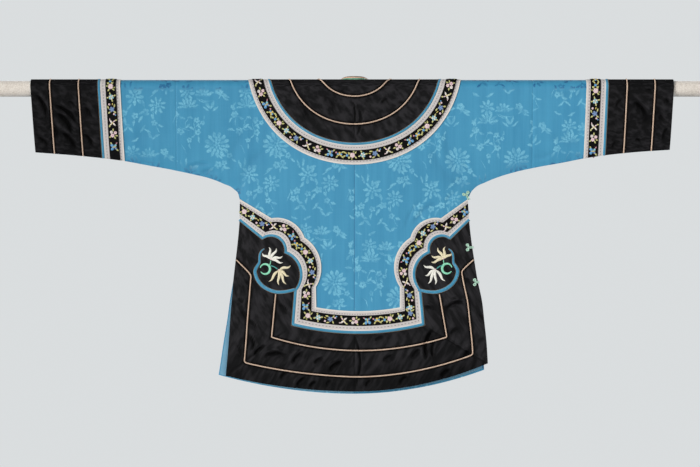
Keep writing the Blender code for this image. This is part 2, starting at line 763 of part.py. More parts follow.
def outer_piping(face):
    """The line that runs in from the side edge, down beside it and along above the hem."""
    runs = {}
    for side in (LEFT, RIGHT):
        inset = OUTER_PIPING_INSET[side]
        foot = hem(face, side * (HEM_REACH[face, side] - inset)) - inset
        start = side_edge(face, side, OUTER_PIPING_FROM) - PIPING_WIDTH
        runs[side] = [(side * start, OUTER_PIPING_FROM)]
        for step in range(OUTER_PIPING_STEPS + 1):
            drop = blend(OUTER_PIPING_BEND, foot, step / OUTER_PIPING_STEPS)
            runs[side].append((side * (side_edge(face, side, drop) - inset), drop))
    path = list(runs[LEFT])
    for step in range(1, PIPING_FOOT_STEPS):
        across = blend(runs[LEFT][-1][0], runs[RIGHT][-1][0], step / PIPING_FOOT_STEPS)
        side = LEFT if across < 0 else RIGHT
        inset = blend(OUTER_PIPING_MIDDLE, OUTER_PIPING_INSET[side], abs(across / runs[side][-1][0]))
        path.append((across, hem(face, across) - inset))
    path += runs[RIGHT][::-1]
    return [(across, face * drop) for across, drop in path]


def inner_piping(face):
    """The line from one lobed head down to a corner, along and up to the other head."""
    (top, top_drop, top_skew), (corner, corner_drop, corner_skew) = INNER_PIPING
    left = [(-top + top_skew, top_drop), (-corner + corner_skew, corner_drop)]
    right = [(corner + corner_skew, corner_drop), (top + top_skew, top_drop)]
    foot = arc(left[1], right[0], -INNER_PIPING_BULGE, PIPING_FOOT_STEPS)
    path = [left[0], mix(*left, 0.5), left[1]] + foot + [mix(*right, 0.5), right[1]]
    return [(across, face * drop) for across, drop in path]


def build_border_lines(face, word):
    for side, label in ((LEFT, "left"), (RIGHT, "right")):
        pairs = beside(curl_path(face, side), CURL_WIDTH)
        ridge(f"curl_{word}_{label}", pairs, ON_SATIN_LIFT, "blue_bias", flap_ground)
    for name, path in (("outer", outer_piping(face)), ("inner", inner_piping(face))):
        ridge(f"hem_piping_{name}_{word}", beside(path, PIPING_WIDTH), ON_SATIN_LIFT,
              "peach_piping", flap_ground)


def frog_section(across, drop, half, low):
    """Four corners across a flat cord that lies on the cloth."""
    face = BACK if drop > 0 else FRONT
    return [wrap(across, drop + face * way * half, height)
            for height in (low, low + FROG_THICK) for way in (-1, 1)]


def tube(name, sections, slot):
    """A closed four-sided sweep through sections of four corners."""
    points = [corner for section in sections for corner in section]
    ring = (0, 1, 3, 2)
    faces = [(0, 1, 3), (0, 3, 2)]
    for start in range(0, len(points) - 4, 4):
        for corner in range(4):
            a = start + ring[corner]
            b = start + ring[(corner + 1) % 4]
            faces.append((a, b, b + 4))
            faces.append((a, b + 4, a + 4))
    last = len(points) - 4
    faces += [(last, last + 3, last + 1), (last, last + 2, last + 3)]
    add_object(name, points, faces, slot)


def outline_reach(drop):
    """Across of the right back outline at a drop near or below the armpit."""
    return read(OUTLINES[BACK, RIGHT], 0, drop, key=1)


def build_side_frogs():
    for name, across, drop, back_height, front_height in SIDE_FROGS:
        edge = max(outline_reach(drop - 2 * FROG_STEM), side_edge(FRONT, RIGHT, drop + 2 * FROG_STEM))
        halves = []
        for face, height in ((BACK, back_height), (FRONT, front_height)):
            low = height + REST
            half = [frog_section(across + part * COIL, face * drop, tall * COIL, low)
                    for part, tall in COIL_PROFILE]
            turn = frog_section(edge + FROG_PAST_EDGE, face * drop, FROG_STEM, low)
            for corner in turn[2:]:
                corner.x += FROG_THICK * MM
            halves.append(half + [turn])
        tube(name, halves[0] + halves[1][::-1], "mint_cord")


def build_front_frogs():
    low = REST + TRIM + REST
    middle = FRONT_FROG_REACH - COIL
    for name, drop in FRONT_FROGS:
        half = [(middle - part * COIL, tall * COIL / 2) for part, tall in COIL_PROFILE]
        half.append((COIL, FROG_STEM))
        places = [(-across, tall) for across, tall in half] + half[::-1]
        tube(name, [frog_section(across, -drop, tall, low) for across, tall in places], "mint_cord")


def main():
    for old in list(bpy.data.objects):
        bpy.data.objects.remove(old, do_unlink=True)
    build_rod()
    for side, word in ((LEFT, "left"), (RIGHT, "right")):
        build_body(side, "body_" + word)
        build_sleeve(side, word)
    build_flap()
    build_lining()
    build_yoke()
    build_collar()
    for face, word in ((BACK, "back"), (FRONT, "front")):
        build_border(face, word)
        build_border_lines(face, word)
    build_side_frogs()
    build_front_frogs()


main()
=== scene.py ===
# %% [markdown]
# This lesson dresses a Chinese silk jacket that hangs flat on a padded rod, with its back to us.
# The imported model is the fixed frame: every piece of cloth already has its true place and size
# there. We load it first, keep its box, and deselect everything, because the import leaves the
# frame selected and an operator acts on all that is selected.

# %% Load the fixed frame
import math

import bmesh
import bpy
import numpy as np
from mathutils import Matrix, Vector


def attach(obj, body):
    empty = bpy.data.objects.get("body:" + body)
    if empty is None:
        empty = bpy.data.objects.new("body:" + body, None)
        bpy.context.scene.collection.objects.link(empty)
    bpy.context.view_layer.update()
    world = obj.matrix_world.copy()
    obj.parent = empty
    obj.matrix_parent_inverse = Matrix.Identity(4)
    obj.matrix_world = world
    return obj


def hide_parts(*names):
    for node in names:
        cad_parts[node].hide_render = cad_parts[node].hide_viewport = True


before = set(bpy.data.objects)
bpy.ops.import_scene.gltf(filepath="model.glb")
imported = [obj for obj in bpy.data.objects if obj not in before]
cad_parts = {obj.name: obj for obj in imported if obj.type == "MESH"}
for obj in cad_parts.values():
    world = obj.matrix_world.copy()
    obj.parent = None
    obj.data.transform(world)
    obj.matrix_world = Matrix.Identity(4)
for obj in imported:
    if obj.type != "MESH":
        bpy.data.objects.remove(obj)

bpy.ops.object.select_all(action="DESELECT")
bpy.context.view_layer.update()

# %% [markdown]
# The photograph looks straight at the jacket's back through a long lens, so the camera stands far
# off and level. One pixel is 2.1 mm at the cloth. The lens and that scale give the distance, and
# the middle of the picture gives the point that the camera looks at.

# %% Camera at the photograph's angle
PIXEL = 0.0021
PICTURE = (700, 467)
LENS = 85
SENSOR = 36
CENTRE_SEAM_PIXEL = 354.5
ROD_TOP_PIXEL = 80
ROD_TOP = 0.0185

camera_data = bpy.data.cameras.new("camera")
camera_data.lens = LENS
camera_data.sensor_width = SENSOR
camera = bpy.data.objects.new("camera", camera_data)
bpy.context.scene.collection.objects.link(camera)
bpy.context.scene.camera = camera
camera_distance = PICTURE[0] * PIXEL * LENS / SENSOR
aim_x = (PICTURE[0] / 2 - CENTRE_SEAM_PIXEL) * PIXEL
aim_z = ROD_TOP - (PICTURE[1] / 2 - ROD_TOP_PIXEL) * PIXEL
camera.location = (aim_x, -camera_distance, aim_z)
camera.rotation_euler = (math.pi / 2, 0, 0)
print("camera", round(camera_distance, 3), "m away, aimed at", round(aim_x, 4), round(aim_z, 4))

# %% [markdown]
# A studio for textiles is lit softly and evenly. A soft key comes from far off at one side, low
# enough to graze the cloth, so that each crease has a lit and a shaded side. It is a sun lamp,
# which is as bright at one cuff as at the other. A broad lamp fills in from the other side. The
# same pair stands behind, so that the hidden front is as well lit. The world looks pale to the
# camera but gives little light, or it would wash the creases out. A pale floor lies well below,
# as under a jacket hung at chest height.

# %% Floor, lights and world
FLOOR_DROP = 1.35
FLOOR_RADIUS = 2.6
FLOOR_COLOUR = (0.62, 0.63, 0.64, 1)
WORLD_SEEN = (0.70, 0.725, 0.735, 1)
WORLD_GIVEN = (0.95, 0.98, 1, 1)
WORLD_STRENGTH = 0.14
LIT_PLACE = Vector((0, 0, -0.25))

bpy.ops.mesh.primitive_circle_add(vertices=96, radius=FLOOR_RADIUS, fill_type="NGON",
                                  location=(0, 0, -FLOOR_DROP))
floor = bpy.context.object
floor.name = "pale_floor"
floor_finish = bpy.data.materials.new("pale_floor")
floor_finish.use_nodes = True
floor_shader = floor_finish.node_tree.nodes["Principled BSDF"]
floor_shader.inputs["Base Color"].default_value = FLOOR_COLOUR
floor_shader.inputs["Roughness"].default_value = 0.9
floor.data.materials.append(floor_finish)

LIGHTS = (
    # name, kind, across, depth, height, size, strength
    ("front_key", "SUN", -1.6, -1.2, 0.15, 0.45, 3.3),
    ("front_fill", "AREA", 1, -3, 0, 1.8, 32),
    ("back_key", "SUN", 1.6, 1.2, 0.15, 0.45, 3.3),
    ("back_fill", "AREA", -1, 3, 0, 1.8, 32),
)
for name, kind, across, depth, height, wide, strength in LIGHTS:
    light = bpy.data.lights.new(name, kind)
    if kind == "SUN":
        light.angle = wide
    else:
        light.size = wide
    light.energy = strength
    lamp = bpy.data.objects.new(name, light)
    bpy.context.scene.collection.objects.link(lamp)
    lamp.location = (across, depth, height)
    lamp.rotation_euler = (LIT_PLACE - lamp.location).to_track_quat("-Z", "Y").to_euler()

world = bpy.data.worlds.new("studio")
world.use_nodes = True
room = world.node_tree
seen = room.nodes["Background"]
seen.inputs["Color"].default_value = WORLD_SEEN
given = room.nodes.new("ShaderNodeBackground")
given.inputs["Color"].default_value = WORLD_GIVEN
given.inputs["Strength"].default_value = WORLD_STRENGTH
either = room.nodes.new("ShaderNodeMixShader")
ray = room.nodes.new("ShaderNodeLightPath")
room.links.new(ray.outputs["Is Camera Ray"], either.inputs[0])
room.links.new(given.outputs[0], either.inputs[1])
room.links.new(seen.outputs[0], either.inputs[2])
room.links.new(either.outputs[0], room.nodes["World Output"].inputs["Surface"])
bpy.context.scene.world = world
bpy.context.scene.view_settings.view_transform = "Standard"
print("lights", len(LIGHTS), "floor", FLOOR_DROP, "m down")

# %% [markdown]
# The jacket was cut flat, so we draw it flat. A flat point is (across, drop) in millimetres:
# across is measured from the centre seam, and drop along the cloth from the shoulder fold,
# positive down the back and negative down the front. Most outlines pass through a few known
# points; a smooth curve through them has no corners, as cloth has none. All the helpers take
# whole arrays, so that thousands of points are laid at once.

# %% Small helpers for curves
MM = 0.001
LEFT, RIGHT = -1, 1
BACK, FRONT = 1, -1
SIDES = ((LEFT, "left"), (RIGHT, "right"))
FACES = ((BACK, "back"), (FRONT, "front"))


def blend(low, high, share):
    return low + (high - low) * share


def smooth(share):
    share = np.clip(share, 0, 1)
    return share * share * (3 - 2 * share)


def spaced(start, end, step):
    """Places from start to end, about a step apart."""
    return np.linspace(start, end, max(2, int(round(abs(end - start) / step)) + 1))


def lengths(path):
    """How far along a path each of its points lies."""
    return np.append(0, np.cumsum(np.linalg.norm(np.diff(path, axis=0), axis=1)))


def through(places, values, at):
    """A smooth curve through (place, value) points, read at any places."""
    places = np.asarray(places, float)
    values = np.asarray(values, float)
    steps = np.diff(places)
    rises = np.diff(values) / steps
    inner = (rises[:-1] * steps[1:] + rises[1:] * steps[:-1]) / (steps[:-1] + steps[1:])
    slopes = np.concatenate((rises[:1], inner, rises[-1:]))
    at = np.clip(at, places[0], places[-1])
    cell = np.clip(np.searchsorted(places, at, side="right") - 1, 0, len(steps) - 1)
    share = (at - places[cell]) / steps[cell]
    rest = 1 - share
    near = values[cell] * (1 + 2 * share) + slopes[cell] * steps[cell] * share
    far = values[cell + 1] * (1 + 2 * rest) - slopes[cell + 1] * steps[cell] * rest
    return near * rest ** 2 + far * share ** 2


print("a smooth curve through (0, 0), (1, 1), (2, 0) at 0.5:", through((0, 1, 2), (0, 1, 0), 0.5))

# %% [markdown]
# These sizes are the jacket's cut. The sleeve is cut in one line with the shoulder and joined
# where the loom's width ran out. The underarm is a soft curve, the side edge flares to the hem,
# and the hem is a shallow arc. Left and right differ by a few millimetres, as sewn cloth does.

# %% The cut of body and sleeves
FOLD_RADIUS = 18.5
QUARTER_TURN = FOLD_RADIUS * math.pi / 2
FOLD_STEPS = 20
SLEEVE_SEAM = 373
SEAM = 0.04
ARMPIT_DROP = 263.5
CUFF_REACH = {LEFT: 678.5, RIGHT: 668.5}
CUFF_SLANT = {LEFT: (9, 7.8), RIGHT: (7.3, 4.3)}
CUFF_SCALE = {LEFT: 1.01, RIGHT: 0.985}
CUFF_DROP = 162
UNDERARM = np.array((
    # across, drop on the left, drop on the right
    (243, 253, 249),
    (252, 241, 238),
    (275, 228.5, 225.5),
    (308, 216, 212.5),
    (335, 209.5, 204.5),
    (385, 199, 193.5),
    (435, 190.5, 185),
    (500, 179.5, 173),
    (585, 170, 163),
    (680, 162.5, 156.5),
))
SIDE_EDGE = np.array((
    # drop, back left, back right, front left, front right
    (263.5, 240.5, 237.5, 240.5, 237.5),
    (310, 241.5, 241, 241.5, 241),
    (350, 245, 245.5, 245, 245),
    (390, 249.5, 251.5, 249.5, 250.5),
    (430, 254, 258, 254.5, 256),
    (475, 257.5, 267.5, 262, 263),
    (515, 260.8, 272, 267.5, 267),
    (560, 263.7, 276.7, 275, 270),
    (605, 267.5, 279.5, 281.8, 272),
    (632, 270, 281, 286, 273),
))
SIDE_COLUMN = {(BACK, LEFT): 1, (BACK, RIGHT): 2, (FRONT, LEFT): 3, (FRONT, RIGHT): 4}
HEM_DROP = {BACK: 663.5, FRONT: 670}
HEM_REACH = {(BACK, LEFT): 270, (BACK, RIGHT): 279.5, (FRONT, LEFT): 286, (FRONT, RIGHT): 272.5}
HEM_RISE = {(BACK, LEFT): 32.5, (BACK, RIGHT): 58.5, (FRONT, LEFT): 40, (FRONT, RIGHT): 50.5}


def side_edge(face, side, drop):
    return through(SIDE_EDGE[:, 0], SIDE_EDGE[:, SIDE_COLUMN[face, side]], drop)


def underarm(side, across):
    """Drop of the sleeve's lower seam, and the armpit's drop nearer the centre."""
    armpit = side_edge(BACK, side, ARMPIT_DROP)
    drops = UNDERARM[:, 1 if side == LEFT else 2]
    return through((armpit, *UNDERARM[:, 0]), (ARMPIT_DROP, *drops), across)


def hem(face, across):
    left = HEM_RISE[face, LEFT] * (across / HEM_REACH[face, LEFT]) ** 2
    right = HEM_RISE[face, RIGHT] * (across / HEM_REACH[face, RIGHT]) ** 2
    return HEM_DROP[face] - np.where(across < 0, left, right)


print("hem at the left corner", round(float(hem(BACK, -270.0)), 1), "mm below the shoulder")

# %% [markdown]
# Hung cloth is never flat. Long soft folds fall from the shoulders, and short creases pull from
# the underarms, across the cuffs and over the border where two stiff layers are sewn together.
# Each crease is given as one row of a table: where it starts and ends, how wide its
# trough is, and how deep. A small ridge stands beside each trough, because the cloth that sinks
# has to go somewhere. The hidden front gets creases of its own, much like those that show.

# %% Folds and creases
FOLDS = (
    # face, across, half width, height, first seen at this drop
    (BACK, -168, 56, 1.6, 300),
    (BACK, -66, 52, -1.5, 260),
    (BACK, 36, 60, 1.7, 300),
    (BACK, 150, 54, -1.4, 340),
    (FRONT, -150, 60, 1.5, 300),
    (FRONT, -20, 60, -1.3, 320),
    (FRONT, 120, 60, 1.5, 300),
)
FOLD_FALL = 330
BACK_CREASES = (
    # across and drop of one end, of the other end, half width of the trough, depth
    # the left cuff's diagonal pulls
    (-668, 41, -643, 90, 5, 1.3), (-629, 63, -580, 106, 5, 1.4), (-626, 78, -590, 128, 6, 1.3),
    (-620, 118, -582, 160, 6, 1.1), (-599, 54, -585, 72, 4, 0.8), (-570, 122, -548, 151, 5, 1),
    (-567, 66, -551, 93, 5, 0.8), (-666, 129, -641, 154, 5, 0.8), (-640, 96, -622, 140, 7, 0.9),
    (-604, 76, -572, 92, 8, 0.6),
    # the right cuff
    (580, 21, 623, 36, 5, 1.1), (580, 54, 612, 94, 7, 1.2), (546, 69, 560, 51, 4, 0.7),
    (588, 134, 600, 140, 3.5, 1), (649, 51, 657, 60, 4, 0.9), (647, 140, 657, 108, 3.5, 0.8),
    (540, 155, 547, 140, 3.5, 0.7), (627, 60, 641, 110, 8, 0.7), (596, 108, 640, 84, 9, 0.6),
    # the yoke: the seam's pucker at the centre, and short pulls
    (-8, 50, -3, 118, 3, 0.7), (7, 62, 4, 132, 3.5, 0.8), (53, 63, 72, 50, 5, 0.8),
    (88, 58, 108, 66, 5, 0.8), (-62, 44, -40, 84, 6, 0.7), (-120, 60, -96, 96, 7, 0.8),
    (30, 96, 48, 120, 6, 0.6), (-30, 30, -18, 52, 4, 0.6),
    # the damask under the right arm, and the pressed line down from it
    (242, 244, 160, 140, 15, 1.7), (236, 232, 196, 96, 13, 1.2), (216, 223, 227, 212, 3.5, 0.8),
    (192, 266, 210, 248, 4, 1), (133, 297, 177, 269, 6, 0.9), (227, 183, 240, 202, 4, 0.9),
    (104, 330, 148, 257, 3, 0.6), (123, 309, 146, 293, 5, 0.9),
    # the damask under the left arm
    (-244, 246, -176, 150, 15, 1.4), (-252, 228, -226, 108, 14, 1), (-352, 196, -300, 190, 5, 0.9),
    (-322, 204, -286, 206, 6, 0.8),
    # along the sleeves
    (-520, 24, -420, 40, 12, 0.9), (-500, 150, -400, 128, 14, 0.9), (516, 28, 410, 36, 12, 0.9),
    (500, 140, 396, 118, 14, 1), (420, 160, 372, 172, 7, 0.7),
    # short pressed creases just above the hem ribbon
    (-48, 478, -40, 480, 4, 0.7), (-40, 485, -18, 484, 3.5, 0.7), (14, 466, 27, 480, 3.5, 0.7),
    (64, 451, 93, 462, 4, 0.8), (70, 470, 96, 466, 4, 0.5),
    # the left border
    (-232, 430, -212, 452, 5, 0.9), (-240, 495, -225, 514, 5, 1), (-222, 513, -203, 536, 5, 1),
    (-162, 481, -139, 498, 5, 1.1), (-222, 543, -211, 580, 5, 1.3), (-211, 590, -189, 567, 5, 1.3),
    (-192, 590, -140, 588, 8, 1.4), (-250, 560, -238, 596, 5, 0.9), (-246, 470, -232, 478, 5, 0.7),
    # along the foot
    (-131, 607, -108, 580, 5.5, 1.2), (-86, 605, -65, 594, 5, 0.9), (-56, 624, -22, 599, 6, 1.3),
    (-3, 540, -1, 660, 3.5, 1.2), (-123, 655, -102, 633, 4.5, 1.1), (-95, 655, -80, 642, 4, 1),
    (-61, 652, -50, 640, 4, 0.9), (-156, 640, -140, 622, 5, 0.9), (22, 655, 36, 638, 4.5, 0.9),
    (58, 600, 84, 588, 6, 0.9), (92, 650, 112, 630, 5, 1), (118, 596, 140, 574, 6, 0.9),
    (40, 560, 62, 548, 6, 0.7), (-90, 566, -60, 556, 7, 0.7),
    # the right border, with the deep fold above its corner
    (150, 597, 164, 531, 5.5, 1.8), (164, 595, 169, 554, 4, 1.2), (184, 497, 232, 474, 6, 1.2),
    (146, 486, 171, 493, 4.5, 0.9), (196, 548, 222, 530, 6, 0.8), (259, 499, 269, 518, 4.5, 0.8),
    (178, 636, 200, 616, 6, 1), (228, 600, 244, 574, 6, 0.9), (214, 440, 246, 430, 7, 0.6),
    # seams that are pressed straight: the yoke's centre, the foot's centre and the two mitres
    (0, 60, 0, 144, 2.4, 0.45), (0, 536, 0, 662, 2.4, 0.5), (-133, 528, -270, 632, 2.4, 0.45),
    (148, 528, 279, 606, 2.4, 0.45),
)
FRONT_CREASES = (
    # as on the back
    (133, 528, 272, 622, 2.4, 0.45), (-126, 528, -286, 632, 2.4, 0.45), (668, 44, 640, 92, 5, 1.2),
    (628, 66, 582, 110, 5, 1.3), (618, 112, 584, 150, 6, 1.1), (566, 60, 548, 96, 5, 0.9),
    (602, 40, 588, 62, 4.5, 0.8), (-580, 24, -624, 40, 5, 1), (-584, 58, -616, 98, 6.5, 1.2),
    (-560, 120, -544, 148, 5, 0.9), (-650, 50, -660, 84, 4.5, 0.9), (-664, 118, -640, 146, 5, 0.8),
    (60, 62, 84, 48, 5, 0.8), (-74, 60, -96, 74, 5, 0.8), (-56, 128, -34, 142, 5, 0.7),
    (242, 244, 168, 146, 15, 1.4), (-244, 244, -166, 142, 15, 1.6), (-236, 226, -198, 100, 13, 1.1),
    (500, 34, 400, 44, 12, 0.9), (-500, 140, -400, 120, 14, 1), (-96, 320, -140, 262, 4, 0.7),
    (40, 430, 66, 444, 5, 0.8), (-42, 470, -14, 476, 4.5, 0.7), (224, 540, 208, 584, 5, 1.2),
    (206, 592, 184, 566, 5, 1.2), (126, 606, 104, 582, 5.5, 1.1), (60, 624, 30, 602, 6, 1.2),
    (110, 655, 92, 636, 4.5, 1), (-60, 600, -88, 586, 6, 1), (-96, 652, -114, 630, 5, 1),
    (-150, 598, -164, 536, 5.5, 1.6), (-186, 496, -232, 476, 6, 1.2), (-228, 600, -246, 572, 6, 1),
    (216, 452, 240, 436, 5, 0.8),
)
CREASES = {BACK: np.array(BACK_CREASES), FRONT: np.array(FRONT_CREASES)}
RIDGE_BESIDE = 1.9
RIDGE_WIDTH = 1.3
RIDGE_SHARE = 0.5
DEEPER = 1.6
NARROWER = 0.66
SOFTEST = 0.35
BROAD = 6
STRAIGHT_UNDER = 2.5
BOWED = 0.12
FULL_WITHIN = 0.22
FADES = 5.2


def crease_height(across, drop, face):
    """How far the creases push the cloth out (positive) or in (negative)."""
    height = np.zeros_like(across)
    for row in CREASES[face]:
        start, end, width = row[:2], row[2:4], row[4] * NARROWER
        depth = row[5] * DEEPER * min(1, BROAD / row[4])
        run = end - start
        length = math.hypot(*run)
        along = ((across - start[0]) * run[0] + (drop - start[1]) * run[1]) / length
        aside = ((across - start[0]) * run[1] - (drop - start[1]) * run[0]) / length
        if row[4] > STRAIGHT_UNDER:
            aside = aside - BOWED * length * np.sin(np.pi * np.clip(along / length, 0, 1))
        past = np.maximum(np.abs(along / length - 0.5) - FULL_WITHIN, 0)
        fade = np.exp(-(FADES * past) ** 2)
        trough = np.exp(-np.hypot(aside / width, SOFTEST) + SOFTEST)
        ridge = np.exp(-((aside - RIDGE_BESIDE * width) / (RIDGE_WIDTH * width)) ** 2)
        height += depth * fade * (RIDGE_SHARE * ridge - trough)
    return height


print("folds", len(FOLDS), "creases", len(BACK_CREASES) + len(FRONT_CREASES))

# %% [markdown]
# Now the rule that hangs the flat cloth over the rod. Near the shoulder it wraps a quarter turn
# to each side of the rod. Below, the two faces close in towards each other: they meet at the
# sewn underarm and stay apart where the cloth is far from an edge. Everything that is sewn on
# the cloth uses the same rule with a little lift, so a ribbon follows the fold beneath it.

# %% Hanging a flat point over the rod
SEWN_EDGE = 1.65
OPEN_EDGE = 6.2
EDGE_OPENS_FROM, EDGE_OPENS_BY = 300, 640
SWELL_REACH = 120
WALL = 1.4
NEAREST = WALL + 0.15
OUTLINE_STEPS = 60
OUTLINE_ENDS = (680, 640)
CALM_BELOW_ROD = 14
CALM_BESIDE_EDGE = 10


def outline(face, side):
    """Points along the underarm and down the side edge."""
    armpit = side_edge(BACK, side, ARMPIT_DROP)
    across = np.linspace(OUTLINE_ENDS[0], armpit, OUTLINE_STEPS)
    drops = np.linspace(ARMPIT_DROP, OUTLINE_ENDS[1], OUTLINE_STEPS)
    seam = np.stack((across, underarm(side, across)), -1)
    edge = np.stack((side_edge(face, side, drops), drops), -1)
    points = np.concatenate((seam, edge[1:]))
    return points * (side, 1)


OUTLINES = {face: [outline(face, side) for side in (LEFT, RIGHT)] for face in (BACK, FRONT)}


def distance_to_outline(across, drop, face):
    """How far in each flat point lies from the nearest edge of its face."""
    nearest = np.full(across.shape, np.inf)
    for points in OUTLINES[face]:
        for start, end in zip(points[::2], points[2::2]):
            run = end - start
            along = ((across - start[0]) * run[0] + (drop - start[1]) * run[1]) / (run @ run)
            along = np.clip(along, 0, 1)
            gap = np.hypot(across - start[0] - run[0] * along, drop - start[1] - run[1] * along)
            nearest = np.minimum(nearest, gap)
    return nearest


def half_depth(across, drop, face):
    """Distance of the cloth's outer face from the middle plane, below the rod."""
    fall = drop - QUARTER_TURN
    reach = SWELL_REACH * (1 - np.exp(-distance_to_outline(across, drop, face) / SWELL_REACH))
    share = fall / (fall + 2 * reach + 1e-9)
    opened = smooth((drop - EDGE_OPENS_FROM) / (EDGE_OPENS_BY - EDGE_OPENS_FROM))
    edge = blend(SEWN_EDGE, OPEN_EDGE, opened)
    waves = 0
    for fold_face, middle, width, height, start in FOLDS:
        if fold_face == face:
            shape = np.exp(-((across - middle) / width) ** 2)
            waves = waves + height * shape * smooth((drop - start) / FOLD_FALL)
    calm = smooth(fall / CALM_BELOW_ROD) * smooth(reach / CALM_BESIDE_EDGE)
    creased = crease_height(across, drop, face) * calm
    depth = blend(FOLD_RADIUS, edge, share) + waves * reach / SWELL_REACH + creased
    return np.maximum(depth, NEAREST)


def lay(flat, lift):
    """Flat points hung over the rod, moved out of the cloth's outer face by lift, in metres."""
    flat = np.asarray(flat, float)
    across, drop = flat[..., 0], flat[..., 1]
    lift = np.broadcast_to(lift, across.shape)
    turn = np.clip(drop, -QUARTER_TURN, QUARTER_TURN) / FOLD_RADIUS
    radius = FOLD_RADIUS + lift
    y = -radius * np.sin(turn)
    z = radius * np.cos(turn)
    for face in (BACK, FRONT):
        below = drop * face > QUARTER_TURN
        if below.any():
            depth = half_depth(across[below], np.abs(drop[below]), face) + lift[below]
            y[below] = -face * depth
            z[below] = QUARTER_TURN - np.abs(drop[below])
    return np.stack((across, y, z), -1) * MM


print("the shoulder's top lies at", lay(((100.0, 0.0),), 0.0).round(4).tolist())

# %% [markdown]
# Every piece is a mesh object made from points and faces. Each point keeps its flat place as the
# UV map, in metres, so that a weave and its figure follow the cloth and not the room. A finished
# piece takes the place of its frame node and rides on the one body.

# %% A new piece in place of its node
CREASE_ANGLE = math.radians(40)


def finished(made, node):
    """Puts a made piece in place of its frame node."""
    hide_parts(node)
    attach(made, "root")
    return made


def new_piece(name, points, faces, weave, finish):
    """A mesh object with a UV map named cut, from points, faces and a flat place for each point."""
    mesh = bpy.data.meshes.new(name)
    mesh.from_pydata(points.tolist(), [], faces)
    layer = mesh.uv_layers.new(name="cut")
    corners = np.empty(len(mesh.loops), np.int32)
    mesh.loops.foreach_get("vertex_index", corners)
    layer.data.foreach_set("uv", np.ascontiguousarray(weave[corners], np.float32).ravel())
    mesh.materials.append(finish)
    mesh.shade_smooth()
    mesh.set_sharp_from_angle(angle=CREASE_ANGLE)
    mesh.validate()
    made = bpy.data.objects.new(name, mesh)
    bpy.context.scene.collection.objects.link(made)
    return made


print("edges stay sharp from", round(math.degrees(CREASE_ANGLE)), "degrees")

# %% [markdown]
# A piece of cloth is built as a thin closed wall: one grid of points for its face, the same grid
# a little lower for its inside, and a rim between them. Points that two grids share are merged,
# which sews them together. Two attributes go with each point, for the finishes to read as painted
# shade: how deep a crease is pressed there, and how near the cloth is to turning under.

# %% A closed wall of cloth from flat grids
TURNS_UNDER = 15
MERGE_WITHIN = 0.02
lies_at = {}


def grid_faces(rows, columns, first=0):
    index = first + np.arange(rows * columns).reshape(rows, columns)
    corners = (index[:-1, :-1], index[:-1, 1:], index[1:, 1:], index[1:, :-1])
    return np.stack(corners, -1).reshape(-1, 4)


def doubled_area(flat, quads):
    """Twice the flat area of the faces, negative where they run the other way round."""
    a, b, c, d = (flat[quads[:, corner]] for corner in range(4))
    across, down = c - a, d - b
    return (across[:, 0] * down[:, 1] - across[:, 1] * down[:, 0]).sum()


def height_of(ground, flat):
    """What lies under a sewn-on piece, as a height for each of its flat points."""
    return ground(flat[..., 0], flat[..., 1]) if ground else 0


def cloth(node, kind, grids, lift, finish, ground=None, weave=None, offset=(0, 0)):
    """A wall of cloth between two lifts, over one or more grids of flat points."""
    name = f"{node}_{kind}"
    flat = np.concatenate([grid.reshape(-1, 2) for grid in grids])
    quads, count = [], 0
    for grid in grids:
        faces = grid_faces(*grid.shape[:2], count)
        quads.append(faces[:, ::-1] if doubled_area(flat, faces) > 0 else faces)
        count += grid.shape[0] * grid.shape[1]
    _, keep, merged = np.unique(np.round(flat / MERGE_WITHIN).astype(np.int64), axis=0,
                                return_index=True, return_inverse=True)
    quads = merged.reshape(-1)[np.concatenate(quads)]
    weave = flat[keep] * MM if weave is None else weave.reshape(-1, 2)[keep]
    flat = flat[keep]
    count = len(flat)
    base = height_of(ground, flat)
    outer, inner = lay(flat, base + lift[1]), lay(flat, base + lift[0])
    faces = [tuple(dict.fromkeys(quad)) for quad in quads.tolist()]
    faces = [face for face in faces if len(face) > 2]
    runs = dict.fromkeys(run for face in faces for run in zip(face, face[1:] + face[:1]))
    rim = [run for run in runs if run[::-1] not in runs]
    walls = faces + [tuple(count + corner for corner in reversed(face)) for face in faces]
    walls += [(end, start, start + count, end + count) for start, end in rim]
    made = new_piece(name, np.concatenate((outer, inner)), walls, np.tile(weave, (2, 1)) + offset, finish)
    lies_at[name] = flat
    # each point keeps its crease depth as painted shade, and its nearness to the edge for the painted shade
    # on the damask's figure
    painted_shade, turned = np.zeros(count), np.zeros(count)
    for face in (BACK, FRONT):
        here = flat[:, 1] * face > QUARTER_TURN
        across, drop = flat[here, 0], flat[here, 1] * face
        painted_shade[here] = -crease_height(across, drop, face)
        turned[here] = np.exp(-(distance_to_outline(across, drop, face) / TURNS_UNDER) ** 2)
    for label, values in (("painted_shade", painted_shade), ("turned", turned)):
        layer = made.data.attributes.new(label, "FLOAT", "POINT")
        layer.data.foreach_set("value", np.tile(values, 2).astype(np.float32))
    finished(made, node)
    made["flat_area"] = abs(doubled_area(flat, quads)) / 2 * MM * MM
    made["flat_size"] = (np.ptp(flat, axis=0) * MM).tolist()
    print(name, len(walls), "faces, flat", [round(side, 3) for side in made["flat_size"]],
          "m, area", round(made["flat_area"], 4))
    return made


print("cloth turns dark within", TURNS_UNDER, "mm of its edge")

# %% [markdown]
# Each finish is a node material. The colours are read as screen values, and Blender wants
# linear ones, so dye() turns one into the other. The rest are small helpers that add one node
# each, because a long tree is easier to read as sums than as a list of links. A helper finds the
# tree from the values that it is given.

# %% Helpers for node materials
def dye(red, green, blue):
    """A screen colour from 0 to 255 as the linear colour that a shader wants."""
    made = []
    for value in (red, green, blue):
        value = value / 255
        made.append(value / 12.92 if value <= 0.04045 else ((value + 0.055) / 1.055) ** 2.4)
    return (*made, 1)


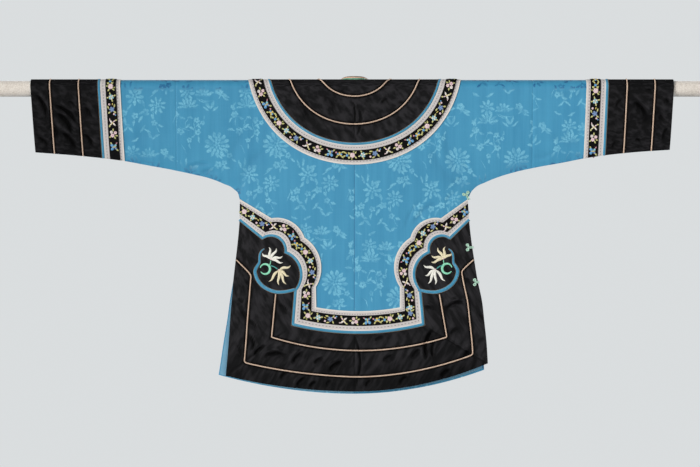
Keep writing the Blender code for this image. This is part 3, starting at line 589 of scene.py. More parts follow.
def wire(value, socket):
    """Links the output of a node to a socket, or sets the socket to a plain value."""
    if isinstance(value, bpy.types.NodeSocket):
        socket.id_data.links.new(value, socket)
    else:
        socket.default_value = value


def beside_values(kind, *values):
    """A new node in the tree that the values come from."""
    tree = next(value.id_data for value in values if isinstance(value, bpy.types.NodeSocket))
    return tree.nodes.new("ShaderNode" + kind)


def math_node(operation, *values, clamp=False):
    """One Math node. Its values are numbers or the outputs of other nodes."""
    made = beside_values("Math", *values)
    made.operation = operation
    made.use_clamp = clamp
    for value, socket in zip(values, made.inputs):
        wire(value, socket)
    return made.outputs[0]


def total(*values):
    return math_node("ADD", *values)


def less(*values, clamp=False):
    return math_node("SUBTRACT", *values, clamp=clamp)


def product(*values, clamp=False):
    return math_node("MULTIPLY", *values, clamp=clamp)


def scaled(*values, clamp=False):
    """The first value times the second, plus the third."""
    return math_node("MULTIPLY_ADD", *values, clamp=clamp)


def vector_node(operation, *values):
    made = beside_values("VectorMath", *values)
    made.operation = operation
    for value, socket in zip(values, made.inputs):
        wire(value, socket)
    return made.outputs["Value" if operation in ("LENGTH", "DOT_PRODUCT") else "Vector"]


def mixed(share, first, second):
    """One colour laid over another by a share."""
    made = beside_values("Mix", share, first, second)
    made.data_type = "RGBA"
    made.clamp_factor = True
    wire(share, made.inputs[0])
    wire(first, made.inputs[6])
    wire(second, made.inputs[7])
    return made.outputs[2]


print("the photograph's blue as a linear colour:", [round(part, 3) for part in dye(70, 148, 182)])

# %% [markdown]
# A weave has to know where it lies, so these give the flat place on the cloth, the place in the
# room, and the values that the cloth keeps on its points. Noise makes a colour uneven, ribs are
# rows of threads, and a bump stands for threads that are far too fine to model.

# %% Places, noise, threads and bumps
def noise(place, scale, detail=2, stretch=(1, 1, 1)):
    """Soft unevenness, about 0.5 in the middle. Stretch squeezes it along each way."""
    made = beside_values("TexNoise", place)
    made.inputs["Scale"].default_value = scale
    made.inputs["Detail"].default_value = detail
    wire(vector_node("MULTIPLY", place, stretch), made.inputs["Vector"])
    return made.outputs["Fac"]


def cut_place(tree):
    """The flat place on the cloth, in metres."""
    made = tree.nodes.new("ShaderNodeUVMap")
    made.uv_map = "cut"
    return made.outputs["UV"]


def object_place(tree):
    return tree.nodes.new("ShaderNodeTexCoord").outputs["Object"]


def raised_to(tree):
    """The height in the room, in metres."""
    return vector_node("DOT_PRODUCT", object_place(tree), (0, 0, 1))


def kept_value(tree, name):
    """A value kept on the cloth's points, such as how deep a crease is pressed there."""
    made = tree.nodes.new("ShaderNodeAttribute")
    made.attribute_name = name
    return made.outputs["Fac"]


def parts_of(place):
    made = beside_values("SeparateXYZ", place)
    wire(place, made.inputs[0])
    return made.outputs[0], made.outputs[1]


def ribs(along, pitch):
    """A wave from -1 to 1 with one rib for each pitch, in metres."""
    return math_node("SINE", product(along, 2 * math.pi / pitch))


def coloured(shader, colour):
    wire(colour, shader.inputs["Base Color"])


def raised(shader, height, strength, depth):
    """A bump map, for threads that are far too fine to model."""
    bump = beside_values("Bump", height)
    bump.inputs["Strength"].default_value = strength
    bump.inputs["Distance"].default_value = depth
    wire(height, bump.inputs["Height"])
    wire(bump.outputs["Normal"], shader.inputs["Normal"])


def new_finish(name, rough, sheen=0, sheen_rough=0.5, specular=0.5, anisotropy=0):
    """A material with its plain settings, its node tree and its shader."""
    made = bpy.data.materials.new(name)
    made.use_nodes = True
    shader = made.node_tree.nodes["Principled BSDF"]
    shader.inputs["Roughness"].default_value = rough
    shader.inputs["Sheen Weight"].default_value = sheen
    shader.inputs["Sheen Roughness"].default_value = sheen_rough
    shader.inputs["Specular IOR Level"].default_value = specular
    shader.inputs["Anisotropic"].default_value = anisotropy
    return made, made.node_tree, shader


print("ribs 0.9 mm apart make", round(1 / 0.0009), "waves in a metre")

# %% [markdown]
# Damask has one colour and two weaves. The figure's threads float over more of their neighbours
# than the ground's, so it catches more light: flowers show pale on the ground, and dark where
# the cloth turns over the rod, which is painted here as shade on the figure. The figure repeats
# with the loom, here every 123 by 289 mm. An image of it would be a copy, so it is charted as
# simple shapes: rings of petals, five-lobed plum blossoms, and leaves and stems as bent lenses.
# Each shape is worked out round its own centre, and its place is wrapped into one repeat, so
# that no shape is cut at the repeat's edge.

# %% The chart of the damask's figure
REPEAT = (123, 289)
RINGS = (
    # across, drop, turn in degrees, then for each ring: petals, inner radius, outer radius, half width
    (0, 0, 8, ((13, 14, 28, 3.9), (10, 7, 18, 3), (5, 1.5, 8, 2.2))),
    (-9.5, 80, 0, ((9, 7, 19, 3), (5, 1, 7.5, 2))),
    (-56, 62, 20, ((8, 7, 20, 3.4), (5, 1.5, 9, 2.4))),
    (61, 179, 12, ((8, 6, 17, 3.2), (5, 1, 7, 2.2))),
)
FANS = (
    # across, drop, then for each ring as above, seen from the upper half alone
    (-60, -78, ((13, 8, 23, 3), (9, 2, 11, 2.1))),
    (-28, 186, ((11, 6, 18, 3), (7, 1, 8, 2.1))),
)
BLOSSOMS = (
    # across, drop, radius
    (-85, -64, 6.5), (-42, -52, 6.5), (-30, -46, 5), (-76, -28, 8), (-40, -26, 7), (-58, -10, 5.5),
    (-97, 22, 6), (-34, 94, 8), (-56, 102, 7), (-16, 117, 6.5), (2, 42, 8), (15, 38, 6.5),
    (44, 96, 7.5), (36, 113, 7), (4, -112, 8), (36, 226, 7),
)
LEAVES = (
    # across, drop, half length, half width, turn in degrees, bend
    (-19, -84, 9, 1.7, 68, 1), (-10, -84, 9, 1.7, 112, -1), (-23, -76, 8, 1.4, 38, 1),
    (-4, -76, 8, 1.4, 142, -1), (44, 131, 8.5, 1.5, -42, 1.5), (56, 131, 8.5, 1.5, 42, -1.5),
    (82, 128, 9, 1.5, -52, 1.5), (92, 134, 7.5, 1.3, 30, -1.5), (38, 151, 8, 1.4, 24, 1.5),
    (66, 152, 9, 1.5, -28, 1.5), (-24, 142, 8.5, 1.5, 48, 1.5), (-12, 146, 9.5, 1.5, -32, -1.5),
    (8, 184, 9, 1.6, -60, 1), (17, 190, 9, 1.6, 36, 1), (-17, 207, 8, 1.6, 62, 1),
    (-74, 40, 9, 1.4, 70, 1.5), (-66, 36, 9, 1.4, 96, -1), (34, 206, 8, 1.5, -50, 1),
    (-46, 46, 7, 2.6, -20, 1),
)
STEMS = (
    # as the leaves, but thin
    (-23, -97, 17, 0.9, 8, 6), (-71, 10, 11, 0.9, 62, -3), (-60, -48, 14, 0.8, -64, -4),
    (-44, -38, 12, 0.8, 74, 3), (-68, -36, 12, 0.8, 20, 3), (-16, 100, 11, 0.8, 84, 2),
    (-18, 55, 12, 0.9, -42, 2), (30, 106, 14, 0.9, -64, -2.5), (-30, 194, 13, 0.9, 18, 5),
    (-6, 130, 9, 0.7, 60, 2), (40, 240, 10, 0.8, 96, 2),
)
print("charted", len(RINGS) + len(FANS), "round flowers", len(BLOSSOMS), "blossoms", len(LEAVES), "leaves")

# %% [markdown]
# The chart becomes a node group made of smaller ones: one wraps a place into the repeat, one is a
# ring of petals and one is a leaf. Wherever shapes overlap, the highest counts, so the figure is
# one greatest value over them all. A shape fades at its edge, which keeps it soft as thread is.

# %% The figure as a node group
FIGURE_EDGE = 4.5
LEAF_LONGER = 1.2
LEAF_BROADER = 2
FAN_FADES = (-0.3, 0.8)
BLOSSOM_PETAL = (0.16, 1.06, 0.48)
BLOSSOM_LEAF = (2.2, 1.15, 0.42, 0.2)
LEAVES_APART = 130


def formula(name, inputs, body):
    """A node group with one output, which body works out from its inputs."""
    tree = bpy.data.node_groups.new(name, "ShaderNodeTree")
    for label in inputs:
        tree.interface.new_socket(label, in_out="INPUT", socket_type="NodeSocketFloat")
    tree.interface.new_socket("Shape", in_out="OUTPUT", socket_type="NodeSocketFloat")
    given = tree.nodes.new("NodeGroupInput").outputs
    made = body(*given[:len(inputs)])
    tree.links.new(made, tree.nodes.new("NodeGroupOutput").inputs[0])
    return tree


def worked_out(group, *values):
    made = beside_values("Group", *values)
    made.node_tree = group
    for value, socket in zip(values, made.inputs):
        wire(value, socket)
    return made.outputs[0]


def from_centre(place, centre, repeat):
    """A place measured from a centre, wrapped into one repeat."""
    off = less(place, centre)
    half = product(repeat, 0.5)
    return math_node("WRAP", off, half, product(half, -1))


def petal_ring(x, y, turn, petals, inner, outer, half_width):
    """Ovals set round a centre, over 1 inside them and under 0 outside."""
    radius = scaled(x, x, product(y, y))
    radius = math_node("SQRT", radius)
    angle = total(math_node("ARCTAN2", y, x), turn)
    share = product(angle, product(petals, 0.5 / math.pi))
    off = math_node("ABSOLUTE", less(math_node("FRACT", share), 0.5))
    arc = product(product(off, radius), 2 * math.pi)
    arc = math_node("DIVIDE", arc, product(petals, half_width))
    middle = product(total(outer, inner), 0.5)
    half = product(less(outer, inner), 0.5)
    along = math_node("DIVIDE", less(radius, middle), half)
    far = scaled(along, along, product(arc, arc))
    return scaled(far, -FIGURE_EDGE / 2, FIGURE_EDGE / 2)


def lens(x, y, turn, start, half_length, half_width, bend):
    """A leaf or a stem: thickest in the middle, bowed by bend, and set off by start along its turn."""
    cosine, sine = math_node("COSINE", turn), math_node("SINE", turn)
    run = scaled(y, sine, product(x, cosine))
    rise = less(product(y, cosine), product(x, sine))
    run = math_node("DIVIDE", less(run, start), half_length)
    fall = less(1, product(run, run))
    aside = less(rise, product(fall, bend))
    aside = math_node("DIVIDE", math_node("ABSOLUTE", aside), half_width)
    return product(less(fall, aside), FIGURE_EDGE / 2)


def damask_figure():
    """A node group from a flat place in millimetres to the figure's share, 0 to 1."""
    off_centre = formula("from_centre", ("Place", "Centre", "Repeat"), from_centre)
    inputs = ("X", "Y", "Turn", "Petals", "Inner", "Outer", "Half width")
    ring_of = formula("petal_ring", inputs, petal_ring)
    inputs = ("X", "Y", "Turn", "Start", "Half length", "Half width", "Bend")
    leaf_of = formula("lens", inputs, lens)

    def figure(across, drop):
        def measured(*centre):
            return [worked_out(off_centre, place, *both)
                    for place, *both in zip((across, drop), centre, REPEAT)]

        shapes = []
        for x, y, turn, rings in RINGS:
            here = measured(x, y)
            shapes += [worked_out(ring_of, *here, math.radians(turn), *ring) for ring in rings]
        for x, y, rings in FANS:
            here = measured(x, y)
            upper = scaled(here[1], *FAN_FADES)
            for ring in rings:
                petals = worked_out(ring_of, *here, 0, *ring)
                shapes.append(math_node("MINIMUM", petals, upper))
        for x, y, size in BLOSSOMS:
            here = measured(x, y)
            sizes = [share * size for share in BLOSSOM_PETAL]
            shapes.append(worked_out(ring_of, *here, x / 9, 5, *sizes))
            for turn in (x * 7, x * 7 + LEAVES_APART):
                sizes = [share * size for share in BLOSSOM_LEAF]
                shapes.append(worked_out(leaf_of, *here, math.radians(turn), *sizes))
        for x, y, half_length, half_width, turn, bend in LEAVES + STEMS:
            here = measured(x, y)
            broad = LEAF_BROADER if half_width > 1 else 1
            shapes.append(worked_out(leaf_of, *here, math.radians(turn), 0,
                                     half_length * LEAF_LONGER, half_width * broad, bend))
        whole = 0
        for shape in shapes:
            whole = math_node("MAXIMUM", whole, shape)
        return math_node("MINIMUM", whole, 1)

    return formula("damask_figure", ("Across", "Drop"), figure)


figure_tree = damask_figure()
print("the figure's group has", len(figure_tree.nodes), "nodes")

# %% [markdown]
# The silk's blue isn't even. Fine streaks run down the cloth where one warp thread is thicker
# than the next, and broad pale patches show wear. The figure is a paler, smoother blue. Over the
# rod and along the underarm and side edges it is painted dark instead: painted shade, where the
# turning cloth takes the light differently. Its edge wanders a little, as threads do.

# %% Blue damask
TURN_OVER = -0.006
TURN_SOFT = 0.007
WANDER = 0.0062
SEAM_AND_SHADE_BLUE = (20, 84, 124)
SEAM_WIDE = 0.0006


def damask(name):
    """Streaked blue silk with its figure, painted shade on the figure at the fold and edges, a dark seam
    line, and painted shade in the creases.
    """
    finish, tree, shader = new_finish(name, 0.5, sheen=0.18, sheen_rough=0.45, specular=0.35)
    place = cut_place(tree)
    across, drop = parts_of(place)
    wander = beside_values("TexNoise", place)
    wander.inputs["Scale"].default_value = 150
    wander.inputs["Detail"].default_value = 3
    wire(place, wander.inputs["Vector"])
    moved = vector_node("MULTIPLY_ADD", wander.outputs["Color"], (WANDER, WANDER, 0), place)
    moved = parts_of(vector_node("MULTIPLY", moved, (1 / MM, 1 / MM, 0)))
    figure = worked_out(figure_tree, *moved)
    streaks = noise(place, 260, 3, (1, 0.035, 1))
    slubs = noise(place, 300, 2, (0.05, 1, 1))
    patches = noise(place, 9, 3)
    bands = noise(place, 70, 2, (1, 0.05, 1))
    ground = mixed(patches, dye(20, 112, 154), dye(58, 142, 176))
    banded = scaled(bands, 1.6, -0.6, clamp=True)
    ground = mixed(banded, ground, dye(64, 148, 184))
    ground = mixed(product(streaks, 0.5), ground, dye(76, 154, 186))
    ground = mixed(product(slubs, 0.12), ground, dye(28, 104, 148))
    mottle = noise(place, 500, 3)
    wear_and_sheen = scaled(noise(place, 60, 2), 2.6, -0.55, clamp=True)
    share = product(scaled(mottle, 2.4, -0.5), wear_and_sheen)
    share = product(figure, share, clamp=True)
    # painted shade on the figure: dark over the rod's fold and near the edges where the cloth turns under
    figure_shade = scaled(raised_to(tree), 1 / TURN_SOFT, -TURN_OVER / TURN_SOFT, clamp=True)
    figure_shade = math_node("MAXIMUM", figure_shade, kept_value(tree, "turned"))
    bright = mixed(figure_shade, dye(114, 184, 207), dye(6, 74, 124))
    colour = mixed(share, ground, bright)
    aside = math_node("ABSOLUTE", parts_of(object_place(tree))[0])
    seam = scaled(aside, -1 / SEAM_WIDE, 1.9, clamp=True)
    colour = mixed(product(seam, 0.5), colour, dye(*SEAM_AND_SHADE_BLUE))
    # painted shade in the crease troughs, in the same dark blue as the seam line
    trough = product(kept_value(tree, "painted_shade"), 0.11, clamp=True)
    colour = mixed(trough, colour, dye(*SEAM_AND_SHADE_BLUE))
    coloured(shader, colour)
    wire(scaled(figure, -0.12, 0.52), shader.inputs["Roughness"])
    weave = total(ribs(across, 0.0009), ribs(drop, 0.0013))
    height = total(weave, product(streaks, 3))
    raised(shader, height, 0.22, 0.0002)
    return finish


blue_damask = damask("blue_damask")
print(blue_damask.name, "has", len(blue_damask.node_tree.nodes), "nodes")

# %% [markdown]
# The borders are black satin: long floats of silk that lie side by side, so the cloth gleams in
# soft bands along its creases. It is nearly black and a little worn. Soft drag lines lean one way
# on the yoke and cuffs and the other way at the foot, where the cloth hangs from the lobed heads.
# They are noise drawn out along that lean, which shapes the bump and also paints the colour
# between a dark tone and a lighter one: partly the satin's worn grey, partly painted sheen and
# shade of the soft folds. The finest rumples, a millimetre or two across, are left to the bump.
# The troughs that the cloth keeps as an attribute get painted shade.

# %% Black satin
FOOT_FROM = -0.49
FOOT_SOFT = 0.05
LEANS = (122, 58)
DRAG_STRETCH = (1, 0.2, 12)


def drag_lines(tree, degrees):
    """Noise drawn out along one lean, for the soft lines that silk is pulled into."""
    lean, place = math.radians(degrees), object_place(tree)
    line = tree.nodes.new("ShaderNodeCombineXYZ")
    ways = ((-math.sin(lean), 0, math.cos(lean)), (math.cos(lean), 0, math.sin(lean)), (0, 1, 0))
    for way, socket in zip(ways, line.inputs):
        wire(vector_node("DOT_PRODUCT", place, way), socket)
    return noise(line.outputs[0], 88, 3, DRAG_STRETCH)


def satin(name, base, wear_and_sheen):
    """Silk between a dark tone and a lighter one along its drag lines, partly worn grey and partly painted
    sheen, with painted shade in the troughs.
    """
    finish, tree, shader = new_finish(name, 0.36, specular=0.03, anisotropy=0.3)
    place = cut_place(tree)
    across, drop = parts_of(place)
    low = scaled(raised_to(tree), -1 / FOOT_SOFT, FOOT_FROM / FOOT_SOFT, clamp=True)
    high_lines, low_lines = (drag_lines(tree, lean) for lean in LEANS)
    lines = scaled(low, less(low_lines, high_lines), high_lines)
    painted_shade = kept_value(tree, "painted_shade")
    # painted sheen: the lighter tone along the drag lines, less of it where painted shade lies
    painted_sheen = scaled(lines, 4.4, -1.75)
    painted_sheen = scaled(painted_shade, -0.3, painted_sheen, clamp=True)
    colour = mixed(painted_sheen, dye(*base), dye(*wear_and_sheen))
    # painted shade in the crease troughs, beside the cords and over the cuffs and the foot
    trough = product(painted_shade, 0.56, clamp=True)
    colour = mixed(trough, colour, dye(0, 0, 0))
    coloured(shader, colour)
    rough = scaled(noise(place, 60, 3), 0.22, 0.36)
    wire(rough, shader.inputs["Roughness"])
    floats = product(ribs(total(across, drop), 0.0008), 0.2)
    rumples = scaled(lines, 22, floats)
    raised(shader, rumples, 0.35, 0.0003)
    return finish


# the lighter tone is partly the satin's worn grey and partly painted sheen
black_satin = satin("black_satin", (21, 21, 22), (41, 40, 42))
print(black_satin.name, "ready")

# %% [markdown]
# The woven ribbons keep their place across as u and their length as v, both in metres. The wide
# one is cream along its selvedges and silver grey inside, with a fine woven figure and a line of
# dark marks. A step from one colour to the next is a share that rises over a third of a
# millimetre.

# %% The wide ribbon
RIBBON_WIDE = 0.0405
SELVEDGE = 0.0024
MARKS = (0.0056, 0.0070)
MARK_EVERY = 0.0063


def step_at(value, place, soft=0.0003):
    """0 below a place and 1 above it."""
    return scaled(value, 1 / soft, 0.5 - place / soft, clamp=True)


def inside(value, low, high, soft=0.0003):
    above = step_at(value, low, soft)
    return less(above, step_at(value, high, soft), clamp=True)


def wide_ribbon():
    """Silver grey with a small woven figure, a line of dark marks and cream selvedges."""
    finish, tree, shader = new_finish("grey_ribbon", 0.55, sheen=0.2, specular=0.3)
    place = cut_place(tree)
    across, along = parts_of(place)
    grain = noise(place, 900, 2)
    grey = mixed(grain, dye(166, 160, 159), dye(216, 210, 208))
    knots = product(ribs(across, 0.0022), ribs(along, 0.0019))
    lit = scaled(knots, 0.22, 0.16, clamp=True)
    grey = mixed(lit, grey, dye(232, 227, 223))
    from_edge = math_node("ABSOLUTE", less(across, RIBBON_WIDE / 2))
    marked = inside(from_edge, RIBBON_WIDE / 2 - MARKS[1], RIBBON_WIDE / 2 - MARKS[0])
    marks = scaled(ribs(along, MARK_EVERY), 0.6, 0.45, clamp=True)
    grey = mixed(product(marked, marks), grey, dye(96, 88, 92))
    cream = mixed(grain, dye(222, 214, 202), dye(238, 231, 220))
    selvedge = step_at(from_edge, RIBBON_WIDE / 2 - SELVEDGE)
    colour = mixed(selvedge, grey, cream)
    aged = product(noise(place, 22, 3), 0.4)
    colour = mixed(aged, colour, dye(178, 168, 160))
    coloured(shader, colour)
    groove = inside(from_edge, RIBBON_WIDE / 2 - SELVEDGE - 0.0004, RIBBON_WIDE / 2 - SELVEDGE)
    height = total(ribs(along, 0.0007), product(groove, -4))
    raised(shader, total(height, knots), 0.35, 0.0003)
    return finish


grey_ribbon = wide_ribbon()
print(grey_ribbon.name, "is", RIBBON_WIDE * 1000, "mm wide")

# %% [markdown]
# The other finishes are plain: a black taffeta ribbon, a pale lining, and threads laid slantwise
# round each bias strip, piping and cord. The low collar is green with a pale line, an orange one
# and a dark upper edge, so its colours follow the height on it.

# %% Flower ribbon, lining, bindings, cords and collar
def plain_weave(name, dark, light, rough, pitch, sheen=0.2, streak=(1, 1, 1), specular=0.35):
    """A cloth of one colour with its threads as a bump."""
    finish, tree, shader = new_finish(name, rough, sheen=sheen, specular=specular)
    place = cut_place(tree)
    across, along = parts_of(place)
    patches = noise(place, 30, 4)
    fine = noise(place, 700, 2, streak)
    share = scaled(fine, 0.5, product(patches, 0.5))
    coloured(shader, mixed(share, dye(*dark), dye(*light)))
    height = product(ribs(across, pitch), ribs(along, pitch))
    raised(shader, total(height, fine), 0.4, 0.0003)
    return finish


def twisted(name, dark, light, rough, pitch, lean=1):
    """A cord or a bias strip, with ribs that run slantwise round it."""
    finish, tree, shader = new_finish(name, rough, sheen=0.15, specular=0.45)
    place = cut_place(tree)
    across, along = parts_of(place)
    slant = scaled(across, lean, along)
    rib = ribs(slant, pitch)
    patches = noise(place, 40, 3)
    share = scaled(rib, 0.16, product(patches, 0.9), clamp=True)
    coloured(shader, mixed(share, dye(*dark), dye(*light)))
    raised(shader, rib, 0.5, 0.0004)
    return finish


def banded_collar():
    """Green cloth with an orange line and a dark edge. The height on the collar is v."""
    finish, tree, shader = new_finish("collar_cloth", 0.5, sheen=0.15, specular=0.3)
    place = cut_place(tree)
    along, height = parts_of(place)
    wander = noise(place, 160, 2)
    height = scaled(wander, 0.0016, height)
    colour = mixed(noise(place, 90, 2), dye(70, 116, 92), dye(128, 176, 148))
    colour = mixed(inside(height, 0.0056, 0.0076), colour, dye(206, 150, 116))
    colour = mixed(inside(height, 0.0050, 0.0056), colour, dye(222, 206, 196))
    colour = mixed(step_at(height, 0.0076), colour, dye(52, 72, 60))
    coloured(shader, colour)
    raised(shader, ribs(along, 0.0009), 0.4, 0.0003)
    return finish


flower_ribbon = plain_weave("flower_ribbon", (3, 3, 4), (9, 9, 10), 0.6, 0.0008, 0,
                            streak=(0.2, 1, 1), specular=0.08)
pale_lining = plain_weave("pale_lining", (84, 138, 170), (132, 180, 200), 0.6, 0.0011)
blue_bias = twisted("blue_bias", (38, 124, 162), (78, 160, 192), 0.42, 0.0007)
gold_edge = twisted("gold_edge", (84, 66, 44), (142, 116, 78), 0.4, 0.0009, lean=2)
peach_piping = twisted("peach_piping", (188, 152, 128), (226, 202, 178), 0.45, 0.0011)
mint_cord = twisted("mint_cord", (148, 196, 170), (208, 236, 216), 0.5, 0.0012, lean=1.6)
collar_cloth = banded_collar()
print("finishes so far:", sorted(finish.name for finish in bpy.data.materials))

# %% [markdown]
# The rod is padded and covered with a nubby knit, so it is soft to look at and not quite smooth.
# Its finish reads the object's own coordinates, because the rod has no flat cut.

# %% Knitted rod cover
def knit():
    """A cream cover whose loops are raised cells."""
    finish, tree, shader = new_finish("rod_cloth", 0.9, sheen=0.5, specular=0.15)
    place = object_place(tree)
    cells = tree.nodes.new("ShaderNodeTexVoronoi")
    cells.inputs["Scale"].default_value = 330
    wire(place, cells.inputs["Vector"])
    loops = product(cells.outputs["Distance"], -1)
    rough = noise(place, 60, 3)
    colour = mixed(rough, dye(216, 207, 196), dye(242, 235, 225))
    shade = product(cells.outputs["Distance"], 0.55, clamp=True)
    coloured(shader, mixed(shade, colour, dye(164, 152, 138)))
    raised(shader, total(loops, rough), 0.6, 0.0008)
    return finish


rod_cloth = knit()
print(rod_cloth.name, "ready")

# %% [markdown]
# The rod is the one stiff piece. It is a plain cylinder laid along X. Its end rims are pulled in
# and rounded with a bevel, as the padding under the cover would round them.

# %% Padded rod
ROD_RADIUS = 0.0165
ROD_REACH = 0.790

bpy.ops.mesh.primitive_cylinder_add(vertices=64, radius=ROD_RADIUS, depth=2 * ROD_REACH)
rod = bpy.context.object
rod.name = "padded_rod"
bpy.ops.object.mode_set(mode="EDIT")
bpy.ops.mesh.select_mode(type="FACE")
bpy.ops.mesh.select_all(action="DESELECT")
form = bmesh.from_edit_mesh(rod.data)
for face in form.faces:
    face.select_set(len(face.verts) > 4)
bmesh.update_edit_mesh(rod.data)
bpy.ops.mesh.bevel(offset=0.004, segments=4, affect="EDGES")
bpy.ops.object.mode_set(mode="OBJECT")
rod.rotation_euler = (0, math.pi / 2, 0)
bpy.ops.object.transform_apply(location=True, rotation=True, scale=True)
rod.data.materials.append(rod_cloth)
rod.data.shade_smooth()
finished(rod, "display_rod")
print("rod", [round(side, 4) for side in rod.dimensions], len(rod.data.polygons), "faces")

# %% [markdown]
# The body is two halves joined at the centre back, and each half runs unbroken over its shoulder.
# Its grid has rows from front hem to back hem. Rows lie close together over the rod, where the
# cloth bends most, and columns lie close together beside the seams, where it is pressed into a
# narrow groove.

# %% Rows and columns of the body
NECK_DROP = -38
NECK_RADIUS = 43.81
BODY_STEP = 4
SEAM_DIP = 0.38
SEAM_REACH = 1.5
BESIDE_SEAM = (0.5, 1, 1.7, 2.8)
FROM_CENTRE = 6.5
FROM_SLEEVE = 6
NECK_STEPS = 15
NEAR_ARMPIT = (0.8, 1.8, 3.2, 5.2, 8, 11.5, 15.5)


def fold_drops():
    """Drops of the rows where the cloth bends over the rod, front to back."""
    even = QUARTER_TURN * np.linspace(-1, 1, FOLD_STEPS + 1)
    return np.sort(np.append(even, (4.36, 5.3)))


def neck_edge(drop):
    """Across of the neck hole's edge at a drop, or the centre seam beyond it."""
    return np.sqrt(np.maximum(NECK_RADIUS ** 2 - (drop - NECK_DROP) ** 2, (SEAM / 2) ** 2))


def neck_drops():
    """Front drops of rows down the neck hole's curve, each taken as positive."""
    start = math.asin((-QUARTER_TURN - NECK_DROP) / NECK_RADIUS)
    turns = np.linspace(start, -math.pi / 2, NECK_STEPS)[1:]
    return -(NECK_DROP + NECK_RADIUS * np.sin(turns))


def sewn_groove(across, drop):
    """The narrow groove along the centre seam and the two sleeve seams."""
    centre = np.exp(-(across / SEAM_REACH) ** 2)
    sleeve = np.exp(-((np.abs(across) - SLEEVE_SEAM) / SEAM_REACH) ** 2)
    return -SEAM_DIP * np.maximum(centre, sleeve)


def body_columns(side):
    armpit = float(side_edge(BACK, side, ARMPIT_DROP))
    seam = np.array((0, *BESIDE_SEAM))
    skirt = np.concatenate((seam, spaced(FROM_CENTRE, armpit, BODY_STEP)))
    near = armpit + np.array(NEAR_ARMPIT)
    far = spaced(near[-1], SLEEVE_SEAM - FROM_SLEEVE, BODY_STEP)[1:]
    end = SLEEVE_SEAM - np.array((*BESIDE_SEAM[::-1], 0))
    return armpit, len(skirt), np.concatenate((skirt, near, far, end))


print("rows over the rod", len(fold_drops()), "columns of a half", len(body_columns(LEFT)[2]))

# %% [markdown]
# Above the armpits, a half has its share of the neck edge and runs out to the sleeve seam. Below
# them it is a skirt that flares to the hem. The grids share a row at the armpit, where the wall
# merges them. Each half has its own shift of the figure, as two lengths cut from one cloth have.

# %% Two halves of the body
def upper_grid(side):
    """The shoulder half with its neck edge, from the front armpit level to the back one."""
    armpit, _, columns = body_columns(side)
    neck = neck_drops()
    front = np.concatenate(((QUARTER_TURN,), neck, spaced(neck[-1], ARMPIT_DROP, BODY_STEP)[1:]))
    back = spaced(QUARTER_TURN, ARMPIT_DROP, BODY_STEP)
    centre = np.concatenate((-front[::-1], fold_drops()[1:-1], back))[:, None]
    share = np.zeros(len(centre))
    share[:len(front)] = np.linspace(1, 0, len(front))
    share[-len(back):] = np.linspace(0, 1, len(back))
    edge = neck_edge(centre)
    across = edge + columns * (1 - (edge + SEAM / 2) / SLEEVE_SEAM)
    even = blend(QUARTER_TURN, underarm(side, columns), share[:, None])
    outer = np.sign(centre) * blend(np.abs(centre), even, np.minimum(columns / armpit, 1))
    drop = np.where(np.abs(centre) >= QUARTER_TURN - 1e-9, outer, centre)
    return np.stack((side * across, drop), -1)


def lower_grid(face, side, skirt):
    """The skirt of one half, from the armpit level to the hem."""
    armpit = abs(skirt[-1, 0])
    corner = hem(face, side * HEM_REACH[face, side])
    share = spaced(0, corner - ARMPIT_DROP, BODY_STEP)[:, None] / (corner - ARMPIT_DROP)
    level = blend(ARMPIT_DROP, corner, share)
    place = skirt[:, 0] / armpit * side_edge(face, side, level)
    drop = level + (hem(face, place) - corner) * share ** 2
    grid = np.stack((place, face * drop), -1)
    grid[0] = skirt
    return grid


BODY_SHIFT = {LEFT: (0.0388, -0.1504), RIGHT: (-0.0964, -0.1829)}
body = {}
for side, word in SIDES:
    upper = upper_grid(side)
    count = body_columns(side)[1]
    grids = [upper, lower_grid(BACK, side, upper[-1, :count]), lower_grid(FRONT, side, upper[0, :count])]
    body[side] = cloth("body_" + word, "silk", grids, (-WALL, 0), blue_damask, sewn_groove,
                       offset=BODY_SHIFT[side])

# %% [markdown]
# Each sleeve is a straight tube that narrows a little to the wrist. It joins the body at a seam
# across the upper arm, where the loom's width ran out. The figure doesn't meet across that seam,
# so the sleeves' UV maps are shifted.

# %% Sleeves
SLEEVE_SHIFT = {LEFT: (0.031, 0.012), RIGHT: (-0.022, 0.067)}
TRIMMED = 186


def cuff_line(side, inset, drop):
    """Across of a line round the sleeve, inset from its slanted end."""
    slant = blend(*CUFF_SLANT[side], inset / TRIMMED)
    room = CUFF_REACH[side] - SLEEVE_SEAM - TRIMMED
    slant = slant * np.clip((TRIMMED + room - inset) / room, 0, 1)
    return side * (CUFF_REACH[side] - inset - slant * np.abs(drop) / CUFF_DROP)


def sleeve_grid(side, insets, step=BODY_STEP, end=None):
    """Rows round a sleeve, from the front of its lower seam to the back, at insets from its end."""
    insets = np.asarray(insets, float)
    share = spaced(0, 1, step / 140)
    fold = fold_drops()[1:-1]
    face = np.concatenate((np.full(len(share), FRONT), np.zeros(len(fold)), np.full(len(share), BACK)))
    share = np.concatenate((share[::-1], np.zeros(len(fold)), share))
    over_rod = np.zeros(len(face))
    over_rod[face == 0] = fold
    low = underarm(side, CUFF_REACH[side] - insets)
    drop = face[:, None] * blend(QUARTER_TURN, low, share[:, None]) + over_rod[:, None]
    across = cuff_line(side, insets, drop)
    if end is not None:
        across[:, -1] = end
    return np.stack((across, drop), -1)


sleeves = {}
for side, word in SIDES:
    length = CUFF_REACH[side] - SLEEVE_SEAM
    insets = spaced(0, length - FROM_SLEEVE, BODY_STEP)
    insets = np.append(insets, length - np.array((*BESIDE_SEAM[::-1], 0)))
    grid = sleeve_grid(side, insets, end=side * (SLEEVE_SEAM + SEAM / 2))
    sleeves[side] = cloth("sleeve_" + word, "silk", [grid], (-WALL, 0), blue_damask, sewn_groove,
                          offset=SLEEVE_SHIFT[side])

